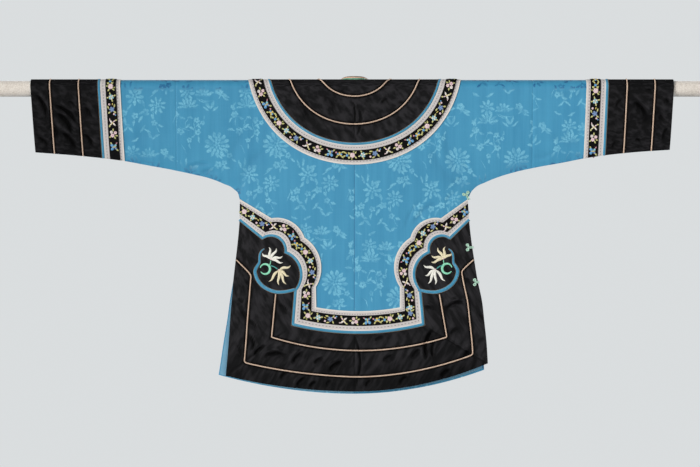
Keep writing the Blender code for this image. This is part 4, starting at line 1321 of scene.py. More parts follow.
# %% [markdown]
# The wearer's left front laps over the centre and fastens under the right arm. Its upper edge
# follows the yoke and then dips to the armpit. A paler lining is sewn inside the fronts.

# %% Overlapping front and lining
FLAP_SHIFT = (0.017, 0.009)
FLAP_LAP = 8
FLAP_RAMP = 42
FLAP_LIFT = (0.4, 1.9)
FLAP_TURN = 150
FLAP_RADIUS = 228.5
YOKE_SWELL = 0.018
LINING_FROM = 455
LINING_INSET = {LEFT: 2, RIGHT: 4}
LINING_LIFT = (-WALL - 1.04, -WALL - 0.04)


def flap_top(across):
    """Drop of the overlapping front's upper edge: round the yoke, then to the armpit."""
    turn = np.clip(across, 0, FLAP_TURN)
    drop = np.sqrt(FLAP_RADIUS ** 2 - turn ** 2) * (1 + YOKE_SWELL) - NECK_DROP
    armpit = float(side_edge(FRONT, RIGHT, ARMPIT_DROP))
    return blend(drop, ARMPIT_DROP, smooth((across - FLAP_TURN) / (armpit - FLAP_TURN)))


def flap_ground(across, drop):
    """Height that the overlapping front adds under the hem's trimming."""
    height = FLAP_LIFT[1] * smooth((across + FLAP_LAP + FLAP_RAMP) / FLAP_RAMP)
    return np.where(drop > 0, 0, height)


armpit = float(side_edge(FRONT, RIGHT, ARMPIT_DROP))
share = spaced(0, 1, BODY_STEP / (armpit + FLAP_LAP))
down = spaced(0, 1, BODY_STEP / 400)[:, None]
level = blend(ARMPIT_DROP, hem(FRONT, HEM_REACH[FRONT, RIGHT]), down)
across = blend(-FLAP_LAP, side_edge(FRONT, RIGHT, level), share)
top = flap_top(blend(-FLAP_LAP, armpit, share))
grid = np.stack((across, -blend(top, hem(FRONT, across), down)), -1)
flap = cloth("front_flap", "silk", [grid], FLAP_LIFT, blue_damask, offset=FLAP_SHIFT)

down = spaced(0, 1, 0.025)[:, None]
reach = []
for side, part in ((LEFT, spaced(-1, 0, 0.02)[:-1]), (RIGHT, spaced(0, 1, 0.02))):
    inset = LINING_INSET[side]
    level = blend(LINING_FROM, hem(FRONT, HEM_REACH[FRONT, side] * side) - inset, down)
    across = part * (side_edge(FRONT, side, level) - inset)
    reach.append(np.stack((across, blend(LINING_FROM, hem(FRONT, across) - inset, down)), -1))
grid = np.concatenate(reach, 1) * (1, -1)
lining = cloth("front_lining", "cloth", [grid], LINING_LIFT, pale_lining)

# %% [markdown]
# The ribbons are flat bands sewn on top. A strip is the cloth between two lines: its rows run
# along the lines, its columns lie between them, and its UV map runs straight along it even where
# the strip is curved.

# %% Strips of ribbon
SATIN_LIFT = (0.4, 1.4)
FLOWER_LIFT = (1.5, 2.4)
STRIP_STEP = 0.004
FLOWERS_WIDE = 0.0215
RIBBONS = (
    # name, lift, finish, width in metres
    ("ribbon", SATIN_LIFT, grey_ribbon, RIBBON_WIDE),
    ("flowers", FLOWER_LIFT, flower_ribbon, FLOWERS_WIDE),
)


def ribbons(part, word, lines, ground=None):
    """The wide ribbon and the flowered one, each as a strip between two lines of flat points."""
    pair = []
    for (label, lift, finish, wide), (near, far) in zip(RIBBONS, lines):
        shares = spaced(0, 1, STRIP_STEP / wide)
        grid = blend(near[:, None], far[:, None], shares[:, None])
        along = lengths(blend(near, far, 0.5)) * MM
        weave = np.stack(np.broadcast_arrays(shares * wide, along[:, None]), -1)
        made = cloth(f"{part}_{label}{word}", "woven", [grid], lift, finish, ground, weave)
        made["flat_size"] = (wide, float(along[-1]))
        pair.append(made)
    return pair


print("strips have a column every", STRIP_STEP * 1000, "mm")

# %% [markdown]
# Satin gets painted shade beside a piping, where the real cloth dips into the seam. Painted shade
# is also added over the cuffs and toward the foot, so they are darker than the yoke. Either is
# joined with the painted shade that the piece's points keep.

# %% Painting shade on the satin
SHADE_BESIDE_CORD = 1.8
CORD_EDGE = 2.4
DIP_REACH = 2.2


def add_painted_shade(made, depth, joined):
    """Joins an amount of painted shade with the one that is kept on each point of the cloth."""
    layer = made.data.attributes["painted_shade"]
    painted_shade = np.empty((2, len(lies_at[made.name])), np.float32)
    layer.data.foreach_get("value", painted_shade.reshape(-1))
    layer.data.foreach_set("value", joined(painted_shade, depth).astype(np.float32).reshape(-1))


def paint_shade_beside(path):
    """Paints shade on the satin along a sewn-in cord, where it dips into the seam."""
    for name, flat in lies_at.items():
        made = bpy.data.objects[name]
        if made.data.materials[0] != black_satin:
            continue
        near = np.full(len(flat), np.inf)
        for point in path:
            np.minimum(near, np.hypot(*(flat - point).T), out=near)
        dip_shade = np.exp(-(np.maximum(near - CORD_EDGE, 0) / DIP_REACH) ** 2)
        add_painted_shade(made, SHADE_BESIDE_CORD * dip_shade, np.maximum)


print("satin is dark within", CORD_EDGE + DIP_REACH, "mm of a cord's middle")

# %% [markdown]
# A bias binding or a piping is a filled cord half sunk into the satin, so it is swept: a
# flattened ring of points follows the line. A gold cord edges each bias binding.

# %% Welts along the seams
BIAS_LIFT = (-0.3, 2.3)
PIPING_LIFT = (0.6, 3)
CURL_LIFT = (0.4, 3)
EDGE_WIDTH = 1.1
EDGE_LIFT = (1, 2.3)
PIPING_WIDTH = 2.7
WELT_SIDES = 10


def directions(path):
    """Unit directions along a flat path."""
    run = np.gradient(path, axis=0)
    return run / np.hypot(run[:, 0], run[:, 1])[:, None]


def beside(path, offset):
    """The flat path moved aside, to the right of its way where the offset is negative."""
    way = directions(path)
    return path + np.stack((-way[:, 1], way[:, 0]), -1) * np.reshape(offset, (-1, 1))


def tube_faces(points, sides):
    """Faces round rings of points that follow each other, with a cap at each end."""
    rings = np.arange(len(points)).reshape(-1, sides)
    after = np.roll(rings, -1, 1)
    quads = np.stack((rings[:-1], after[:-1], after[1:], rings[1:]), -1).reshape(-1, 4)
    return [*map(tuple, quads.tolist()), tuple(rings[0].tolist()[::-1]), tuple(rings[-1].tolist())]


def point_out(made):
    """Turns every face outward."""
    form = bmesh.new()
    form.from_mesh(made.data)
    bmesh.ops.recalc_face_normals(form, faces=form.faces)
    form.to_mesh(made.data)
    form.free()


def welt(name, node, path, width, lift, finish, ground=None):
    """A filled, flattened cord along a flat path. Its width is one number or one for each point."""
    width = np.broadcast_to(width, len(path))
    aside = beside(path, 1) - path
    turn = np.linspace(0, 2 * math.pi, WELT_SIDES, endpoint=False)
    flat = path[:, None] + aside[:, None] * (np.cos(turn) * width[:, None] / 2)[..., None]
    middle, half = (lift[0] + lift[1]) / 2, (lift[1] - lift[0]) / 2
    points = lay(flat, height_of(ground, flat) + middle + half * np.sin(turn)).reshape(-1, 3)
    along = lengths(path)
    weave = np.stack(np.broadcast_arrays(turn * width.max() / 4, along[:, None]), -1).reshape(-1, 2) * MM
    made = new_piece(name, points, tube_faces(points, WELT_SIDES), weave, finish)
    point_out(made)
    if node:
        finished(made, node)
    else:
        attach(made, "root")
    print(name, len(made.data.polygons), "faces, long", round(along[-1] * MM, 3), "m")
    return made


def gold_cord(name, path, ground=None):
    welt(name, "", path, EDGE_WIDTH, EDGE_LIFT, gold_edge, ground)


def binding(node, path, width, edge, ground=None):
    """A bias binding in place of its node, with a gold cord along its edge."""
    welt(node + "_welt", node, path, width, BIAS_LIFT, blue_bias, ground)
    gold_cord(node + "_edge", edge, ground)


def piping(node, path, ground=None):
    """A peach piping in place of its node, with painted shade on the satin beside it."""
    welt(node + "_cord", node, path, PIPING_WIDTH, PIPING_LIFT, peach_piping, ground)
    paint_shade_beside(path)


print("welts have", WELT_SIDES, "sides, and a piping is", PIPING_WIDTH, "mm wide")

# %% [markdown]
# Every cuff carries, from the wrist in, a band of black satin with two lines of piping, a blue
# bias binding, and the wide ribbon with the flowered one sewn on it. Each edge lies under the
# next band, as a sewn edge does.

# %% Cuffs
CUFF_SATIN = 141
CUFF_BIAS = (139, 144.8)
CUFF_RIBBON = (143.6, 186)
CUFF_FLOWERS = (155.5, 177)
CUFF_PIPING = (40, 99.5)
CUFF_STEP = 2.8
CUFF_SHADE = {LEFT: 0.55, RIGHT: 0.5}
CUFF_BIAS_WIDE = 5.9
CUFF_GOLD = 2.9


def cuff_lines(side, insets):
    """Lines round a sleeve at insets from its end, scaled to that cuff."""
    return sleeve_grid(side, CUFF_SCALE[side] * np.asarray(insets), CUFF_STEP)


cuffs, cuff_ribbons = {}, {}
for side, word in SIDES:
    grid = cuff_lines(side, spaced(0, CUFF_SATIN, CUFF_STEP))
    cuffs[side] = cloth("cuff_" + word, "satin", [grid], SATIN_LIFT, black_satin)
    # painted shade over the whole cuff, added to that of its creases
    add_painted_shade(cuffs[side], CUFF_SHADE[side], np.add)
    lines = [cuff_lines(side, edges).swapaxes(0, 1) for edges in (CUFF_RIBBON, CUFF_FLOWERS)]
    cuff_ribbons[side] = ribbons("cuff", "_" + word, lines)
    line = cuff_lines(side, [sum(CUFF_BIAS) / 2])[:, 0]
    binding("cuff_bias_" + word, line, CUFF_BIAS_WIDE, line + (side * CUFF_GOLD, 0))
    for number, inset in enumerate(CUFF_PIPING, 1):
        piping(f"cuff_piping_{number}_{word}", cuff_lines(side, [inset])[:, 0])

# %% [markdown]
# The yoke is one C of satin round the neck, from the left of the front slit over both shoulders
# to the right of it. Its outer line is nearly a circle whose centre lies in front of the fold.

# %% Yoke
FRONT_SLIT = 0.5
YOKE_RADIUS = 182.5
YOKE_RIBBON = (184.9, 226.5)
YOKE_FLOWERS = (196.5, 218)
YOKE_BIAS = 183.5
YOKE_PIPING = (84, 142)
YOKE_STEP = 3
YOKE_BIAS_WIDE = 5.6
RING_STEPS = {FRONT: 48, BACK: 60}


def yoke_place(radius, turn):
    """A point of the yoke's rings, which swell a little between the straight ways."""
    swollen = radius * (1 + YOKE_SWELL * np.sin(2 * turn) ** 2)
    return swollen * np.cos(turn), NECK_DROP + swollen * np.sin(turn)


def yoke_turn(radius, drop):
    """The turn at which a ring crosses a drop, found by halving."""
    low, high = np.full(np.shape(drop), -math.pi / 2), np.full(np.shape(drop), math.pi / 2)
    for _ in range(40):
        middle = (low + high) / 2
        under = yoke_place(radius, middle)[1] < drop
        low, high = np.where(under, middle, low), np.where(under, high, middle)
    return low


def yoke_ring(radius):
    """Half a ring's points, from the front slit over the shoulder to the centre back."""
    front, back = yoke_turn(radius, -QUARTER_TURN), yoke_turn(radius, QUARTER_TURN)
    turns = np.concatenate((
        np.linspace(-math.pi / 2, front, RING_STEPS[FRONT] + 1)[:-1],
        yoke_turn(radius, fold_drops()),
        np.linspace(back, math.pi / 2, RING_STEPS[BACK] + 1)[1:],
    ))
    ring = np.stack(yoke_place(radius, turns), -1)
    ring[RING_STEPS[FRONT]:-RING_STEPS[BACK], 1] = fold_drops()
    ring[0, 0] = FRONT_SLIT
    ring[-1, 0] = 0
    return ring


def whole_ring(radius):
    """A ring from the left of the front slit round the back to the right of it."""
    right = yoke_ring(radius)
    return np.concatenate((right[:-1] * (-1, 1), right[::-1]))


outer = yoke_ring(YOKE_RADIUS)
start = math.asin((-QUARTER_TURN - NECK_DROP) / NECK_RADIUS)
front = NECK_DROP + NECK_RADIUS * np.sin(np.linspace(-math.pi / 2, start, RING_STEPS[FRONT] + 1)[:-1])
neck = np.concatenate((front, fold_drops()))
neck = np.stack((np.where(neck < NECK_DROP + NECK_RADIUS, neck_edge(neck), 0), neck), -1)
neck[0, 0] = FRONT_SLIT
centre = np.linspace(QUARTER_TURN, outer[-1, 1], RING_STEPS[BACK] + 1)[1:]
inner = np.concatenate((neck, np.stack((0 * centre, centre), -1)))
right = blend(inner[:, None], outer[:, None], spaced(0, 1, YOKE_STEP / 140)[:, None])
yoke = cloth("yoke", "satin", [right, right * (-1, 1)], SATIN_LIFT, black_satin)
lines = [[whole_ring(radius) for radius in edges] for edges in (YOKE_RIBBON, YOKE_FLOWERS)]
yoke_ribbons = ribbons("yoke", "", lines)
binding("yoke_bias", whole_ring(YOKE_BIAS), YOKE_BIAS_WIDE, whole_ring(YOKE_BIAS - YOKE_BIAS_WIDE / 2))
for number, radius in enumerate(YOKE_PIPING, 1):
    piping(f"yoke_piping_{number}", whole_ring(radius))

# %% [markdown]
# The ribbon band comes in from each side slit, sweeps down round a lobed head, narrows to a
# waist, and turns along the foot. Both of its edges are chains of arcs. The satin border fills
# what lies between the band and the garment's edges, in three pieces mitred at the corners.

# %% The band round the hem
BAND = (
    # outer across, outer drop, inner across, inner drop, skew, outer bulge, inner bulge, steps
    (238.5, 261, 241, 307.5, -1, 0, 0, 18),
    (177.5, 301, 197.5, 346.5, 3.5, 15, 19, 30),
    (111, 341.5, 154, 374.5, 6, 22, 21.5, 40),
    (88, 445, 134, 451.5, 7, 0, 0, 24),
    (87.5, 487.5, 140.5, 526, 7.5, 0, 0, 0),
)
BAND_FOOT_BULGE = (8, 17.5)
BAND_FOOT_STEPS = 180
BAND_RIBBON = (0, 0.88)
BAND_FLOWERS = (0.195, 0.645)
BAND_BIAS = 0.92
BAND_BIAS_WIDE = 6.4
BAND_EDGE = 0.99


def arc(start, end, bulge, steps):
    """Points after start up to end, bowed to the right of the way by bulge."""
    start, end = np.asarray(start, float), np.asarray(end, float)
    share = (np.arange(steps) + 1) / steps
    run = end - start
    chord = math.hypot(*run)
    if not bulge:
        return start + run * share[:, None]
    radius = (chord * chord / 4 + bulge * bulge) / (2 * abs(bulge))
    half = 2 * math.atan(2 * abs(bulge) / chord)
    turn = half * (2 * share - 1)
    along = radius * np.sin(turn) / chord + 0.5
    out = math.copysign(1, bulge) * radius * (np.cos(turn) - math.cos(half))
    aside = np.array((run[1], -run[0])) / chord
    return start + run * along[:, None] + aside * out[:, None]


def band_edge(face, edge):
    """One edge of the hem's ribbon band, from the left side round to the right."""
    sides = {}
    for side in (LEFT, RIGHT):
        turns = [(side * row[2 * edge] + row[4], row[2 * edge + 1]) for row in BAND]
        turns[0] = (side * float(side_edge(face, side, turns[0][1])), turns[0][1])
        path = [np.array(turns[:1])]
        for row, start, end in zip(BAND, turns, turns[1:]):
            path.append(arc(start, end, -side * row[5 + edge], row[7]))
        sides[side] = np.concatenate(path)
    foot = arc(sides[LEFT][-1], sides[RIGHT][-1], -BAND_FOOT_BULGE[edge], BAND_FOOT_STEPS)
    return np.concatenate((sides[LEFT], foot[:-1], sides[RIGHT][::-1])) * (1, face)


BAND_COUNT = 1 + sum(row[7] for row in BAND)
print("the band's edges have", BAND_COUNT, "points down each side and", BAND_FOOT_STEPS, "along the foot")

# %% [markdown]
# The two ribbons and the binding are shares of the way across the band. The border's pieces have
# rows from the band to the garment's edge, and at the mitres they share a slanted line.

# %% Ribbons, binding and satin at the hem
BAND_SATIN = 0.96
BORDER_CROWDING = 0.9
BORDER_STEP = 2.8
FOOT_SHADE, FOOT_DARK_FROM, FOOT_DARK_OVER = 0.55, 575, 75
RIGHT_CORNER_SHADE, RIGHT_DARK_FROM, RIGHT_DARK_OVER = 0.5, 60, 170


def border_side(face, side, near):
    """Rows from the band's inner edge out to the garment's side edge, down to the mitre."""
    corner = hem(face, side * HEM_REACH[face, side])
    share = np.linspace(0, 1, len(near)) ** BORDER_CROWDING
    drop = blend(BAND[0][3] + 1, corner, share)
    far = np.stack((side * side_edge(face, side, drop), face * drop), -1)
    return blend(near[:, None], far[:, None], spaced(0, 1, BORDER_STEP / 110)[:, None])


def border_foot(face, near):
    """Rows from the band's lower edge down to the hem, between the two mitres."""
    across = np.linspace(-HEM_REACH[face, LEFT], HEM_REACH[face, RIGHT], len(near))
    far = np.stack((across, face * hem(face, across)), -1)
    return blend(near[:, None], far[:, None], spaced(0, 1, BORDER_STEP / 130)[:, None])


borders, hem_ribbons = [], {}
for face, word in FACES:
    outer, inner = band_edge(face, 0), band_edge(face, 1)
    lines = [[blend(outer, inner, edge) for edge in edges] for edges in (BAND_RIBBON, BAND_FLOWERS)]
    hem_ribbons[face] = ribbons("hem", "_" + word, lines, flap_ground)
    binding("hem_bias_" + word, blend(outer, inner, BAND_BIAS), BAND_BIAS_WIDE,
            blend(outer, inner, BAND_EDGE), flap_ground)
    near = blend(outer, inner, BAND_SATIN)
    for label, grid in (
        ("left", border_side(face, LEFT, near[:BAND_COUNT])),
        ("right", border_side(face, RIGHT, near[::-1][:BAND_COUNT])),
        ("foot", border_foot(face, near[BAND_COUNT - 1:len(near) - BAND_COUNT + 1])),
    ):
        made = cloth(f"border_{word}_{label}", "satin", [grid], SATIN_LIFT, black_satin, flap_ground)
        flat = lies_at[made.name]
        # painted shade on the border's satin: darker toward the hem, and on the foot piece toward its right
        # corner too
        border_shade = FOOT_SHADE * np.clip((np.abs(flat[:, 1]) - FOOT_DARK_FROM) / FOOT_DARK_OVER, 0, 1)
        if label == "foot":
            border_shade += RIGHT_CORNER_SHADE * np.clip((flat[:, 0] - RIGHT_DARK_FROM) / RIGHT_DARK_OVER, 0, 1)
        add_painted_shade(made, border_shade, np.add)
        borders.append(made)

# %% [markdown]
# On the border lie two lines of peach piping and, in each lobed head, a blue curl that hooks at
# its tip. The outer piping runs in from the side edge and follows it down and along the hem. The
# inner one links the two heads under the band.

# %% Curls and piping on the border
CURL = (
    # across, drop, width
    (129, 450.3, 6.4), (133, 451.3, 6.4), (138, 452.8, 6.6), (151.1, 455.3, 6.8),
    (168.5, 456.1, 7.2), (189.5, 448.7, 7.4), (205.6, 434.7, 7.4), (212.8, 415.8, 7.4),
    (212, 408.4, 7.2), (207.6, 400.9, 6.4), (203, 394.3, 5.4), (203.2, 386.8, 4.8),
    (202.8, 376.5, 4.4), (199, 369, 3.4), (193, 364.9, 1.8),
)
CURL_SKEW = 4
OUTER_PIPING_FROM = 388
OUTER_PIPING_BEND = {LEFT: 419, RIGHT: 411}
OUTER_PIPING_INSET = {LEFT: 36.5, RIGHT: 30.5}
OUTER_PIPING_MIDDLE = 30.5
INNER_PIPING = ((171.5, 460, 6.5), (183.5, 550, 10))
INNER_PIPING_BULGE = 28


def resampled(path, step, rounds=0):
    """The path with its corners cut, and its points a step apart."""
    path = np.asarray(path, float)
    for _ in range(rounds):
        first, second = blend(path[:-1], path[1:], 0.25), blend(path[:-1], path[1:], 0.75)
        cut = np.stack((first, second), 1).reshape(-1, path.shape[1])
        path = np.concatenate((path[:1], cut[1:-1], path[-1:]))
    gone = lengths(path)
    at = spaced(0, gone[-1], step)
    return np.stack([np.interp(at, gone, path[:, column]) for column in range(path.shape[1])], -1)


def curl_path(face, side):
    """Under the lobed head from the ribbon's waist and up to the hooked tip, with its width."""
    path = resampled(CURL, 1.6, 3)
    return path[:, :2] * (side, face) + (CURL_SKEW, 0), path[:, 2]


def outer_piping(face):
    """The flat path of the piping that follows the jacket's edge."""
    runs = {}
    for side in (LEFT, RIGHT):
        inset = OUTER_PIPING_INSET[side]
        foot = float(hem(face, side * (HEM_REACH[face, side] - inset))) - inset
        drops = spaced(OUTER_PIPING_BEND[side], foot, 8)
        down = np.stack((side * (side_edge(face, side, drops) - inset), drops), -1)
        start = float(side_edge(face, side, OUTER_PIPING_FROM)) - 1.2
        runs[side] = np.concatenate((((side * start, OUTER_PIPING_FROM),), down))
    across = spaced(runs[LEFT][-1, 0], runs[RIGHT][-1, 0], 10)[1:-1]
    reach = np.where(across < 0, runs[LEFT][-1, 0], runs[RIGHT][-1, 0])
    end = np.where(across < 0, OUTER_PIPING_INSET[LEFT], OUTER_PIPING_INSET[RIGHT])
    inset = blend(OUTER_PIPING_MIDDLE, end, np.abs(across / reach))
    foot = np.stack((across, hem(face, across) - inset), -1)
    path = np.concatenate((runs[LEFT], foot, runs[RIGHT][::-1]))
    return resampled(path, 3.2, 2) * (1, face)


def inner_piping(face):
    """The flat path of the piping that links the two heads."""
    (top, top_drop, top_skew), (corner, corner_drop, corner_skew) = INNER_PIPING
    left = [(-top + top_skew, top_drop), (-corner + corner_skew, corner_drop)]
    right = [(corner + corner_skew, corner_drop), (top + top_skew, top_drop)]
    foot = arc(left[1], right[0], -INNER_PIPING_BULGE, 40)
    return resampled(np.concatenate((left, foot, right[1:])), 3.2) * (1, face)


for face, word in FACES:
    for side, label in SIDES:
        path, width = curl_path(face, side)
        node = f"curl_{word}_{label}"
        welt(node + "_cord", node, path, width, CURL_LIFT, blue_bias, flap_ground)
        for number, way in enumerate((-1, 1), 1):
            gold_cord(f"{node}_edge_{number}", beside(path, way * width / 2), flap_ground)
    piping("hem_piping_outer_" + word, outer_piping(face), flap_ground)
    piping("hem_piping_inner_" + word, inner_piping(face), flap_ground)

# %% [markdown]
# The collar is a low standing band round the neck, closed at the back and open at the front slit.
# Its section is a rounded strip that leans in a little as it rises.

# %% Standing collar
COLLAR_THICK = 1.5
COLLAR_FOOT = -0.9
COLLAR_TOP = 8
COLLAR_LEAN = 4
COLLAR_CORNER = 5
COLLAR_GAP = 0.63
COLLAR_TURN = (-88.6, 268.6)
COLLAR_STEPS = 180


def collar_section():
    """Points round the section: how far in from the neck edge, and how high."""
    corner = np.linspace(0, math.pi, COLLAR_CORNER + 2)
    half = COLLAR_THICK / 2
    rise = spaced(0, 1, 0.1)
    shoulder = COLLAR_TOP - half
    up = np.stack((COLLAR_LEAN * rise, blend(COLLAR_FOOT, shoulder, rise)), -1)
    cap = np.stack((COLLAR_LEAN + half * (1 - np.cos(corner)), shoulder + half * np.sin(corner)), -1)
    return np.concatenate((up, cap[1:-1], (up + (COLLAR_THICK, 0))[::-1]))


section = collar_section()
turn = np.radians(np.linspace(*COLLAR_TURN, COLLAR_STEPS))[:, None]
inward = NECK_RADIUS - COLLAR_GAP - section[:, 0]
flat = np.stack((inward * np.cos(turn), NECK_DROP + inward * np.sin(turn)), -1)
points = lay(flat, section[:, 1]).reshape(-1, 3)
weave = np.stack(np.broadcast_arrays(turn * NECK_RADIUS, section[:, 1]), -1).reshape(-1, 2) * MM
collar = new_piece("collar_band", points, tube_faces(points, len(section)), weave, collar_cloth)
point_out(collar)
finished(collar, "collar")
print("collar", len(collar.data.polygons), "faces")

# %% [markdown]
# A frog is made of knotted cord, so first we need a round cord. It is a ring of points swept
# along a path in the room. The ring's frame is carried along from point to point, so it never
# flips.

# %% Sweeping a round cord
CORD_SIDES = 8
CORD = 0.0011


def cord_mesh(path):
    """A round tube along points in metres, with a flat place for each of its points."""
    way = np.gradient(path, axis=0)
    way /= np.linalg.norm(way, axis=1)[:, None]
    side = np.cross(way[0], (0.31, 0.87, 0.38))
    turn = np.linspace(0, 2 * math.pi, CORD_SIDES, endpoint=False)
    points = []
    for place, ahead in zip(path, way):
        side = side - ahead * (side @ ahead)
        side /= np.linalg.norm(side)
        up = np.cross(ahead, side)
        points.append(place + CORD * (np.cos(turn)[:, None] * side + np.sin(turn)[:, None] * up))
    weave = np.stack(np.broadcast_arrays(turn * CORD, lengths(path)[:, None]), -1)
    return np.concatenate(points), weave.reshape(-1, 2)


def cord_piece(node, paths):
    """A few cords as one piece, in place of its node."""
    points, weave = (np.concatenate(part) for part in zip(*map(cord_mesh, paths)))
    faces, first = [], 0
    for path in paths:
        count = len(path) * CORD_SIDES
        faces += [tuple(first + corner for corner in face) for face in tube_faces(range(count), CORD_SIDES)]
        first += count
    made = new_piece(node + "_cord", points, faces, weave, mint_cord)
    point_out(made)
    finished(made, node)
    print(node, len(faces), "faces in", len(paths), "cords")


print("cords are", CORD * 2000, "mm thick")

# %% [markdown]
# Each half of a frog is a cord laid in two flat coils, one above the other, and both ends run to
# the edge. At the side they wrap round it to the same coils on the front. In front they cross
# the slit, where the real frog has its knot and loop.

# %% Frogs
COIL = 4.4
COIL_TURNS = 1.7
COIL_HEART = 0.7
COIL_APART = 0.3
FROG_STEM = 0.0012
SIDE_FROGS = (
    # name, across, drop, how far its stem falls, height of the cloth under it at the back and front
    ("frog_underarm", 233.4, 248.6, 12, 0, 0),
    ("frog_side_upper", 236.7, 362, 0, 1.4, 3.3),
    ("frog_side_lower", 251.8, 435, 0, 1.4, 3.3),
)
FRONT_FROGS = (("frog_neck", 92), ("frog_chest", 151))
FRONT_FROG_REACH = 27
FROG_LIFT = 0.3 + CORD / MM
ROUND_EDGE = (0.4, 0.0024)


def coil(across, drop, way, up):
    """A flat spiral from its heart out to the stem: up is the side of the stem it lies on."""
    turn = np.linspace(0, 2 * math.pi * COIL_TURNS, 40)
    radius = blend(COIL_HEART, COIL - CORD / MM, turn / turn[-1])
    ends = math.pi / 2 - turn[-1]
    x = across + way * radius * np.cos(turn + ends)
    d = drop + up * (COIL + COIL_APART - radius * np.sin(turn + ends))
    return np.stack((x, d), -1)


def frog_half(across, drop, way, up, reach, fall=0):
    """A coil and its stem, as flat points from the coil's heart to the stem's end."""
    spiral = coil(0, 0, way, up)
    run = spaced(spiral[-1, 0], way * math.hypot(reach - across, fall), 1)[1:]
    ease = np.linspace(0, 1, len(run)) ** 0.5
    line = blend(spiral[-1, 1], up * FROG_STEM / MM, ease)
    x, d = np.concatenate((spiral, np.stack((run, line), -1))).T
    tilt = math.atan2(fall, abs(reach - across)) * way
    return np.stack((across + x * math.cos(tilt) - d * math.sin(tilt),
                     drop + x * math.sin(tilt) + d * math.cos(tilt)), -1)


def outline_reach(drop):
    """Across of the right back outline at a drop near or below the armpit."""
    points = OUTLINES[BACK][1]
    return float(np.interp(drop, points[:, 1], points[:, 0]))


def side_frog(across, drop, fall, back_height, front_height, up):
    """One cord: a coil on the back, its stem round the edge, and a coil on the front."""
    end = drop + fall
    edge = max(outline_reach(end), float(side_edge(FRONT, RIGHT, max(end, ARMPIT_DROP))))
    flat = frog_half(across, drop, 1, up, edge + ROUND_EDGE[0], fall)
    back = lay(flat * (1, BACK), back_height + FROG_LIFT)
    front = lay(flat * (1, FRONT), front_height + FROG_LIFT)[::-1]
    share = np.linspace(0, 1, 7)[1:-1, None]
    turn = blend(back[-1], front[0], share)
    turn[:, 0] += ROUND_EDGE[1] * np.sin(math.pi * share[:, 0])
    return np.concatenate((back, turn, front))


def front_frog(drop, up):
    """One cord across the front slit, with a coil at each end."""
    reach = FRONT_FROG_REACH - COIL
    halves = [frog_half(way * reach, drop, -way, up, 0) for way in (1, -1)]
    flat = np.concatenate((halves[0], halves[1][::-1][1:])) * (1, FRONT)
    return lay(flat, SATIN_LIFT[1] + FROG_LIFT)


for node, *places in SIDE_FROGS:
    cord_piece(node, [side_frog(*places, up) for up in (-1, 1)])
for node, drop in FRONT_FROGS:
    cord_piece(node, [front_frog(drop, up) for up in (-1, 1)])

# %% [markdown]
# The flowers on the black ribbon are satin stitch: each petal or leaf is a low pad of parallel
# silk threads. Four pads are modelled once, in a unit square: a round one, a petal that widens
# outward, a pointed leaf and a long blade. Each is a small grid whose rows are drawn in to the
# outline and whose middle is pushed up, closed by a solidify. Copies of them make every flower.

# %% Four stitched pads
PAD_COLUMNS, PAD_ROWS = 5, 3
PAD_SINK = 0.35


def oval(along):
    return math.sqrt(max(along * (1 - along), 0.004))


def stitched_pad(name, half_width, columns=PAD_COLUMNS):
    """A closed low pad one unit long. half_width gives its outline from end to end."""
    bpy.ops.mesh.primitive_grid_add(x_subdivisions=columns, y_subdivisions=PAD_ROWS, size=1)
    pad = bpy.context.object
    pad.name = name
    for vertex in pad.data.vertices:
        along = vertex.co.x + 0.5
        aside = vertex.co.y * 2
        vertex.co.x = -0.5 * math.cos(math.pi * along)
        vertex.co.y = aside * half_width(vertex.co.x + 0.5)
        vertex.co.z = (1 - aside ** 2) * min(1, 4 * half_width(vertex.co.x + 0.5))
    thick = pad.modifiers.new("wall", "SOLIDIFY")
    thick.thickness = PAD_SINK
    thick.offset = -1
    bpy.ops.object.modifier_apply(modifier=thick.name)
    points = np.array([vertex.co[:] for vertex in pad.data.vertices])
    faces = [tuple(face.vertices) for face in pad.data.polygons]
    bpy.data.objects.remove(pad, do_unlink=True)
    return points, faces


PADS = {
    "round": stitched_pad("round_pad", oval),
    "petal": stitched_pad("petal_pad", lambda x: oval(x) * (0.55 + 0.8 * x)),
    "leaf": stitched_pad("leaf_pad", lambda x: 0.5 * max(math.sin(math.pi * x), 0.03) ** 1.15),
    "blade": stitched_pad("blade_pad", lambda x: 0.5 * max(math.sin(math.pi * x ** 0.8), 0.02) ** 0.8, 12),
}
print("pads", {name: len(faces) for name, (_, faces) in PADS.items()}, "faces")

# %% [markdown]
# Thread colours are kept on the points as an attribute, so all the embroidery is one finish. Fine
# ribs across each pad are its threads. They follow the pad's own UV map, along its length.

# %% Embroidery silk
THREADS = {
    "pink": (232, 202, 206), "white": (230, 222, 214), "rose": (212, 148, 162),
    "cream": (236, 224, 186), "ivory": (240, 238, 226), "yellow": (214, 190, 92),
    "aqua": (136, 196, 204), "sky": (88, 158, 208), "slate": (112, 140, 184),
    "leaf": (196, 194, 122), "moss": (156, 160, 92), "mint": (136, 222, 184), "teal": (60, 172, 164),
}


def silk():
    """Silk in the colour that each point keeps."""
    finish, tree, shader = new_finish("embroidery_silk", 0.42, sheen=0.15, specular=0.4)
    colour = tree.nodes.new("ShaderNodeAttribute")
    colour.attribute_name = "thread"
    threads = ribs(parts_of(cut_place(tree))[1], 0.0004)
    uneven = noise(cut_place(tree), 500, 2)
    share = scaled(threads, 0.1, product(uneven, 0.3))
    coloured(shader, mixed(share, colour.outputs["Color"], dye(120, 104, 90)))
    raised(shader, threads, 0.4, 0.0002)
    return finish


def dye_threads(made, colours):
    """Keeps a thread colour on each point of a piece."""
    layer = made.data.color_attributes.new("thread", "FLOAT_COLOR", "POINT")
    layer.data.foreach_set("color", np.asarray(colours).reshape(-1))


embroidery_silk = silk()
print(embroidery_silk.name, "in", len(THREADS), "colours")

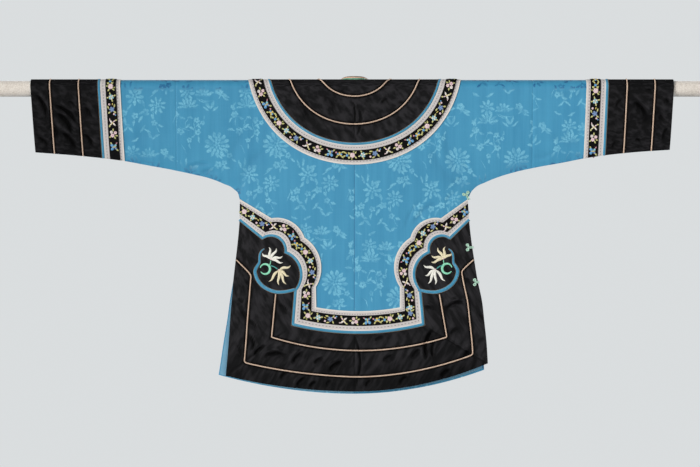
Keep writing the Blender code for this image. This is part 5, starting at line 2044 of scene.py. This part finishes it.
# %% [markdown]
# Eight small flowers follow each other along the ribbon and then repeat, every 172 mm. Each is a
# list of pads with a place along and across the ribbon, a turn, a length and a width.

# %% The flowers of the ribbon
def ring(kind, count, radius, length, width, thread, turn=0, along=0, aside=0):
    """Pads set round a centre, pointing outward."""
    made = []
    for number in range(count):
        angle = turn + 360 * number / count
        x = along + radius * math.cos(math.radians(angle))
        y = aside + radius * math.sin(math.radians(angle))
        made.append((kind, x, y, angle, length, width, thread))
    return made


def dot(along, aside, long, thread, wide=0):
    return [("round", along, aside, 0, long, wide or long, thread)]


def leaves(*places, thread="leaf"):
    return [("leaf", x, y, angle, length * 1.12, 2.2, thread) for x, y, angle, length in places]


FLOWERS = {
    "rose": ring("petal", 5, 2.5, 3.6, 3.4, "pink", 18) + ring("petal", 4, 1.1, 2.2, 2, "white", 40)
    + dot(0, 0, 1.3, "rose")
    + leaves((-6, -3.4, 215, 5), (-5.4, 4.6, 130, 4.6), (6, 3.8, 40, 4.8), (5.6, -4.8, 305, 4.6))
    + leaves((-1, 6.6, 100, 3.6), (2.2, -6.8, 280, 3.4), thread="moss"),
    "aqua": ring("petal", 3, 2.7, 3.8, 2.6, "aqua", 50) + ring("petal", 3, 2.6, 3.6, 2.2, "white", 110)
    + dot(0, 0, 1.8, "yellow")
    + leaves((-6.4, 1.8, 165, 4.4), (6.2, -1.6, 345, 4.4), (0.6, 6.4, 80, 3.6), (-2.6, -6.4, 245, 4)),
    "slate": ring("petal", 5, 2.7, 3.8, 2.5, "slate", 90) + dot(0, 0, 1.6, "sky")
    + leaves((-6.6, -5, 190, 5), (-4, 6.6, 160, 5.4), (5.6, 5, 60, 4.8), (5.2, -5.2, 300, 4.6))
    + dot(-9.4, 4.4, 3.2, "pink", 2.8) + dot(8.6, -3.4, 3, "pink", 2.6)
    + [("round", 10.8, -6, 30, 2.2, 1.8, "sky"), ("leaf", -9.8, -1.6, 200, 4, 1.6, "yellow")],
    "sprig": [("leaf", -2, 2.6, 140, 7.6, 2.6, "white"), ("leaf", 2.6, -2.4, 320, 7, 2.4, "white"),
              ("leaf", 2.4, 3.2, 52, 6.4, 2, "cream"), ("leaf", -2.8, -2.8, 232, 5.8, 1.8, "pink")]
    + dot(0.2, 0.2, 2.6, "yellow", 2.2) + [("leaf", -6.4, 4.8, 170, 4, 1.6, "pink")]
    + leaves((5.6, 5.8, 20, 3.8), (-4.6, -6.2, 250, 3.6)),
    "cluster": ring("petal", 5, 1.9, 2.8, 2.5, "pink", 10, 2.8, 1.8)
    + ring("petal", 5, 1.5, 2.2, 2, "white", 50, -3.4, 3.6)
    + ring("petal", 5, 1.6, 2.4, 2.1, "pink", 30, -2, -3.6)
    + dot(2.8, 1.8, 1.4, "rose") + dot(-3.4, 3.6, 1.1, "rose") + dot(-2, -3.6, 1.2, "yellow")
    + leaves((7, -2.4, 330, 4.8), (-7.4, 0, 180, 4.6), (3.4, -5.8, 285, 4), (5.4, 6.2, 60, 3.8)),
    "butterfly": [("petal", -2.6, 3.4, 125, 6, 3.8, "sky"), ("petal", 3, 3.2, 50, 5.8, 3.6, "sky"),
                  ("petal", -2.4, -2.2, 220, 4, 2.8, "aqua"),
                  ("petal", 2.6, -2.4, 318, 4, 2.8, "slate"),
                  ("leaf", 0.2, 0.2, 88, 7.4, 1.9, "yellow"), ("leaf", -6.2, -4.6, 215, 4.2, 1.6, "rose")]
    + leaves((5.8, -5.4, 310, 4.4), (-6.6, 5.2, 150, 4)),
    "yellow": ring("petal", 3, 2.2, 3.6, 3, "yellow", 30) + ring("petal", 2, 2.6, 3.8, 2.8, "sky", 180)
    + dot(0, 0, 1.5, "white") + dot(-6.6, -2.6, 2.6, "rose", 2.2)
    + leaves((5.8, 4.2, 38, 4.8), (5, -4.6, 320, 4.4), (-4.4, 5, 130, 4.2)),
    "bud": [("petal", 0.6, 0.4, 70, 4.4, 3.2, "sky"), ("leaf", -1.4, -3, 250, 4.2, 1.6, "yellow")]
    + leaves((-4.2, 2.6, 150, 4.6), (4.4, -2.8, 320, 4.4), (4.2, 4.2, 45, 3.8), (-4.4, -4.6, 220, 3.8)),
}
ORDER = (("rose", 0), ("aqua", 22), ("slate", 47.5), ("sprig", 75.5), ("cluster", 98.5),
         ("butterfly", 125.5), ("yellow", 145.5), ("bud", 160.5))
FLOWER_REPEAT = 172.5
print("pads in one repeat:", sum(len(FLOWERS[name]) for name, _ in ORDER))

# %% [markdown]
# To sew a flower on, its pads are turned and moved into the ribbon's flat pattern and then hung
# by the same rule as the ribbon itself, so they follow its curve and its creases. The flowers are
# counted from a rose whose place is given, and a run ends where the ribbon was cut.

# %% Sewing pads on a ribbon
PAD_HEIGHT = 0.75
FLOWER_SPREAD = 1.14
PAD_LONG = 1.4
PAD_WIDE = 1.6
KEPT_FREE = (7, 10)


def turned_by(turn, x, y):
    """Flat places turned round the start by degrees."""
    way = math.radians(turn)
    return x * math.cos(way) - y * math.sin(way), x * math.sin(way) + y * math.cos(way)


def sewn_pads(name, pads, lift, ground=None):
    """Many pads as one piece. A pad is kind, across, drop, turn, length, width, bend, thread."""
    flats, heights, faces, weaves, colours, count = [], [], [], [], [], 0
    for kind, across, drop, turn, length, width, bend, thread in pads:
        points, pad_faces = PADS[kind]
        x, y = points[:, 0] * length, points[:, 1] * width
        y = y + bend * np.sin(2 * math.pi * (points[:, 0] + 0.5)) * (points[:, 0] + 0.5)
        flats.append(np.stack(turned_by(turn, x, y), -1) + (across, drop))
        heights.append(points[:, 2] * PAD_HEIGHT)
        weaves.append(np.stack((y, x), -1) * MM)
        colours.append(np.tile(dye(*THREADS[thread]), (len(points), 1)))
        faces += [tuple(count + corner for corner in face) for face in pad_faces]
        count += len(points)
    flat = np.concatenate(flats)
    points = lay(flat, height_of(ground, flat) + lift + np.concatenate(heights))
    made = new_piece(name, points, faces, np.concatenate(weaves), embroidery_silk)
    dye_threads(made, np.concatenate(colours))
    point_out(made)
    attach(made, "root")
    print(name, len(pads), "pads,", len(faces), "faces")


def flower_run(path, rose, start=0, end=math.inf, squeeze=1):
    """Pads for the flowers between two lengths of a flat line, with a rose at the length rose."""
    repeat = FLOWER_REPEAT * squeeze
    gone = lengths(path)
    start, end = max(start, KEPT_FREE[0]), min(end, gone[-1] - KEPT_FREE[1])
    way = directions(path)
    made = []
    first = rose - repeat * math.ceil((rose - start) / repeat)
    for turn in range(int((end - first) / repeat) + 1):
        for name, place in ORDER:
            at = first + turn * repeat + place * squeeze
            if not start <= at <= end:
                continue
            across, drop, run, fall = (np.interp(at, gone, part) for part in (*path.T, *way.T))
            heading = math.degrees(math.atan2(fall, run))
            for kind, along, aside, angle, length, width, thread in FLOWERS[name]:
                x, y = turned_by(heading, along * FLOWER_SPREAD, aside * FLOWER_SPREAD)
                made.append((kind, across + x, drop + y, angle + heading, length * PAD_LONG,
                             width * PAD_WIDE, 0, thread))
    return made


def length_at(path, point):
    """How far along a flat line the point nearest to this one lies."""
    return float(lengths(path)[np.argmin(np.hypot(*(path - point).T))])


print("a pad stands", PAD_HEIGHT, "mm high")

# %% [markdown]
# Each ribbon's run of flowers starts from a rose whose place is given. On the hem the run
# breaks at both mitred corners, and its left part is a little closer set.

# %% Embroidery on the ribbons
FLOWER_TOP = FLOWER_LIFT[1]
CUFF_ROSE = {LEFT: 27, RIGHT: 34}
YOKE_ROSE = (-6.1, 168.2)
HEM_ROSES = ((-231, 284.5), (-98, 505), (113, 512))
LEFT_SQUEEZE = 0.955
BEFORE_CORNER = (9, -7)
AFTER_CORNER = (-4, 9)

for side, word in SIDES:
    path = cuff_lines(side, [sum(CUFF_FLOWERS) / 2])[:, 0]
    nearest = path[np.argmin(np.abs(path[:, 1] - CUFF_ROSE[side]))]
    pads = flower_run(path, length_at(path, (nearest[0], CUFF_ROSE[side])))
    sewn_pads(f"cuff_flowers_{word}_silk", pads, FLOWER_TOP)

path = whole_ring(sum(YOKE_FLOWERS) / 2)
sewn_pads("yoke_flowers_silk", flower_run(path, length_at(path, YOKE_ROSE)), FLOWER_TOP)

for face, word in FACES:
    path = blend(band_edge(face, 0), band_edge(face, 1), sum(BAND_FLOWERS) / 2)
    corners = [length_at(path, path[place]) for place in (BAND_COUNT - 1, len(path) - BAND_COUNT)]
    roses = [length_at(path, (x, face * d)) for x, d in HEM_ROSES]
    ends = np.subtract(corners, BEFORE_CORNER)
    starts = np.add(corners, AFTER_CORNER)
    pads = flower_run(path, roses[0], end=ends[0], squeeze=LEFT_SQUEEZE)
    pads += flower_run(path, roses[1], starts[0], ends[1])
    pads += flower_run(path, roses[2], starts[1])
    sewn_pads(f"hem_flowers_{word}_silk", pads, FLOWER_TOP, flap_ground)

# %% [markdown]
# Each lobed head carries two large flowers in cream silk, a mint crescent and two short stems.
# The petals are long blades that bend one way and then the other.

# %% Flowers in the lobed heads
HEAD_FLOWERS = (
    # across and drop of the centre, then a turn and a length for each petal
    ((175.8, 386.8), ((144, 20.8), (98.7, 24.7), (63, 25.2), (15, 25.2), (-14.5, 26))),
    ((158.9, 409.3), ((21, 26), (-30, 24.4), (-61.8, 33), (-88, 31), (-131, 31))),
)
HEAD_SHIFT = {LEFT: (0, 0), RIGHT: (10.8, -1)}
HOOK_SHIFT = {LEFT: 0, RIGHT: -4}
BLADE_WIDTH = 5.6
BLADE_BEND = 3.2
BLADE_FROM = 1
HEART = 3.4
HEAD_LIFT = 1.5
STEM_LIFT = (1, 2.4)
HOOK_MIDDLE = (187.3, 407.4)
HOOK_RADIUS = 10.4
HOOK_TURN = (166, -150)
HOOK_STEPS = 44
HOOK_WIDE = (1, 4)
STEMS_WIDE = 1.9
FLOWER_STEMS = (
    (((177.7, 399), (176, 395), (175.8, 390)), "mint"),
    (((175.5, 400.5), (167.5, 402.4), (161.5, 407.5)), "teal"),
)


def head_place(side, face, across, drop):
    shift = HEAD_SHIFT[side]
    return side * across + shift[0], face * (drop + shift[1])


def head_flowers(side, face):
    """Pads of the two flowers in one lobed head."""
    made = []
    for (across, drop), petals in HEAD_FLOWERS[::side]:
        silk = "ivory" if made else "cream"
        for turn, length in petals:
            way = math.radians(turn)
            middle = length / 2 + BLADE_FROM
            run, rise = math.cos(way), math.sin(way)
            place = head_place(side, face, across - middle * run, drop - middle * rise)
            heading = math.degrees(math.atan2(-face * rise, -side * run))
            bend = BLADE_BEND * side * face * (1 if run > -0.2 else -1)
            made.append(("blade", *place, heading, length, BLADE_WIDTH, bend, silk))
        made.append(("round", *head_place(side, face, across, drop), 0, HEART, HEART, 0, "pink"))
    return made


def crescent(side, face):
    """The mint curl beside the flowers, and its two stems, as flat paths with widths."""
    turn = np.radians(np.linspace(*HOOK_TURN, HOOK_STEPS))
    middle = HOOK_MIDDLE[0] + side * HOOK_SHIFT[side]
    round_it = np.stack((np.cos(turn), np.sin(turn)), -1)
    hook = (middle, HOOK_MIDDLE[1]) - HOOK_RADIUS * round_it
    swell = np.sin(np.linspace(0.3, math.pi - 0.04, HOOK_STEPS) ** 1.2 / math.pi ** 0.2) ** 0.8
    lines = [(hook, HOOK_WIDE[0] + HOOK_WIDE[1] * swell, "mint")]
    lines += [(resampled(stem, 1, 2), STEMS_WIDE, thread) for stem, thread in FLOWER_STEMS]
    return [(np.stack(head_place(side, face, *path.T), -1), width, thread) for path, width, thread in lines]


for face, word in FACES:
    for side, label in SIDES:
        head = f"head_{word}_{label}"
        sewn_pads(head + "_flowers", head_flowers(side, face), HEAD_LIFT, flap_ground)
        for number, (path, width, thread) in enumerate(crescent(side, face), 1):
            made = welt(f"{head}_stem_{number}", "", path, width, STEM_LIFT, embroidery_silk, flap_ground)
            dye_threads(made, np.tile(dye(*THREADS[thread]), (len(made.data.vertices), 1)))

# %% [markdown]
# Last, every piece of cloth is put on a list by name.

declared = []


def declare(made):
    """Adds the piece of cloth's name to the list."""
    declared.append(made.name)


def declare_ribbons(pair):
    declare(pair[0])
    declare(pair[1])


for side in (LEFT, RIGHT):
    declare(body[side])
    declare(sleeves[side])
    declare(cuffs[side])
    declare_ribbons(cuff_ribbons[side])
for made in (flap, lining):
    declare(made)
declare(yoke)
declare_ribbons(yoke_ribbons)
for made in borders:
    declare(made)
for face in (BACK, FRONT):
    declare_ribbons(hem_ribbons[face])
print("declared", len(declared), "sheets")
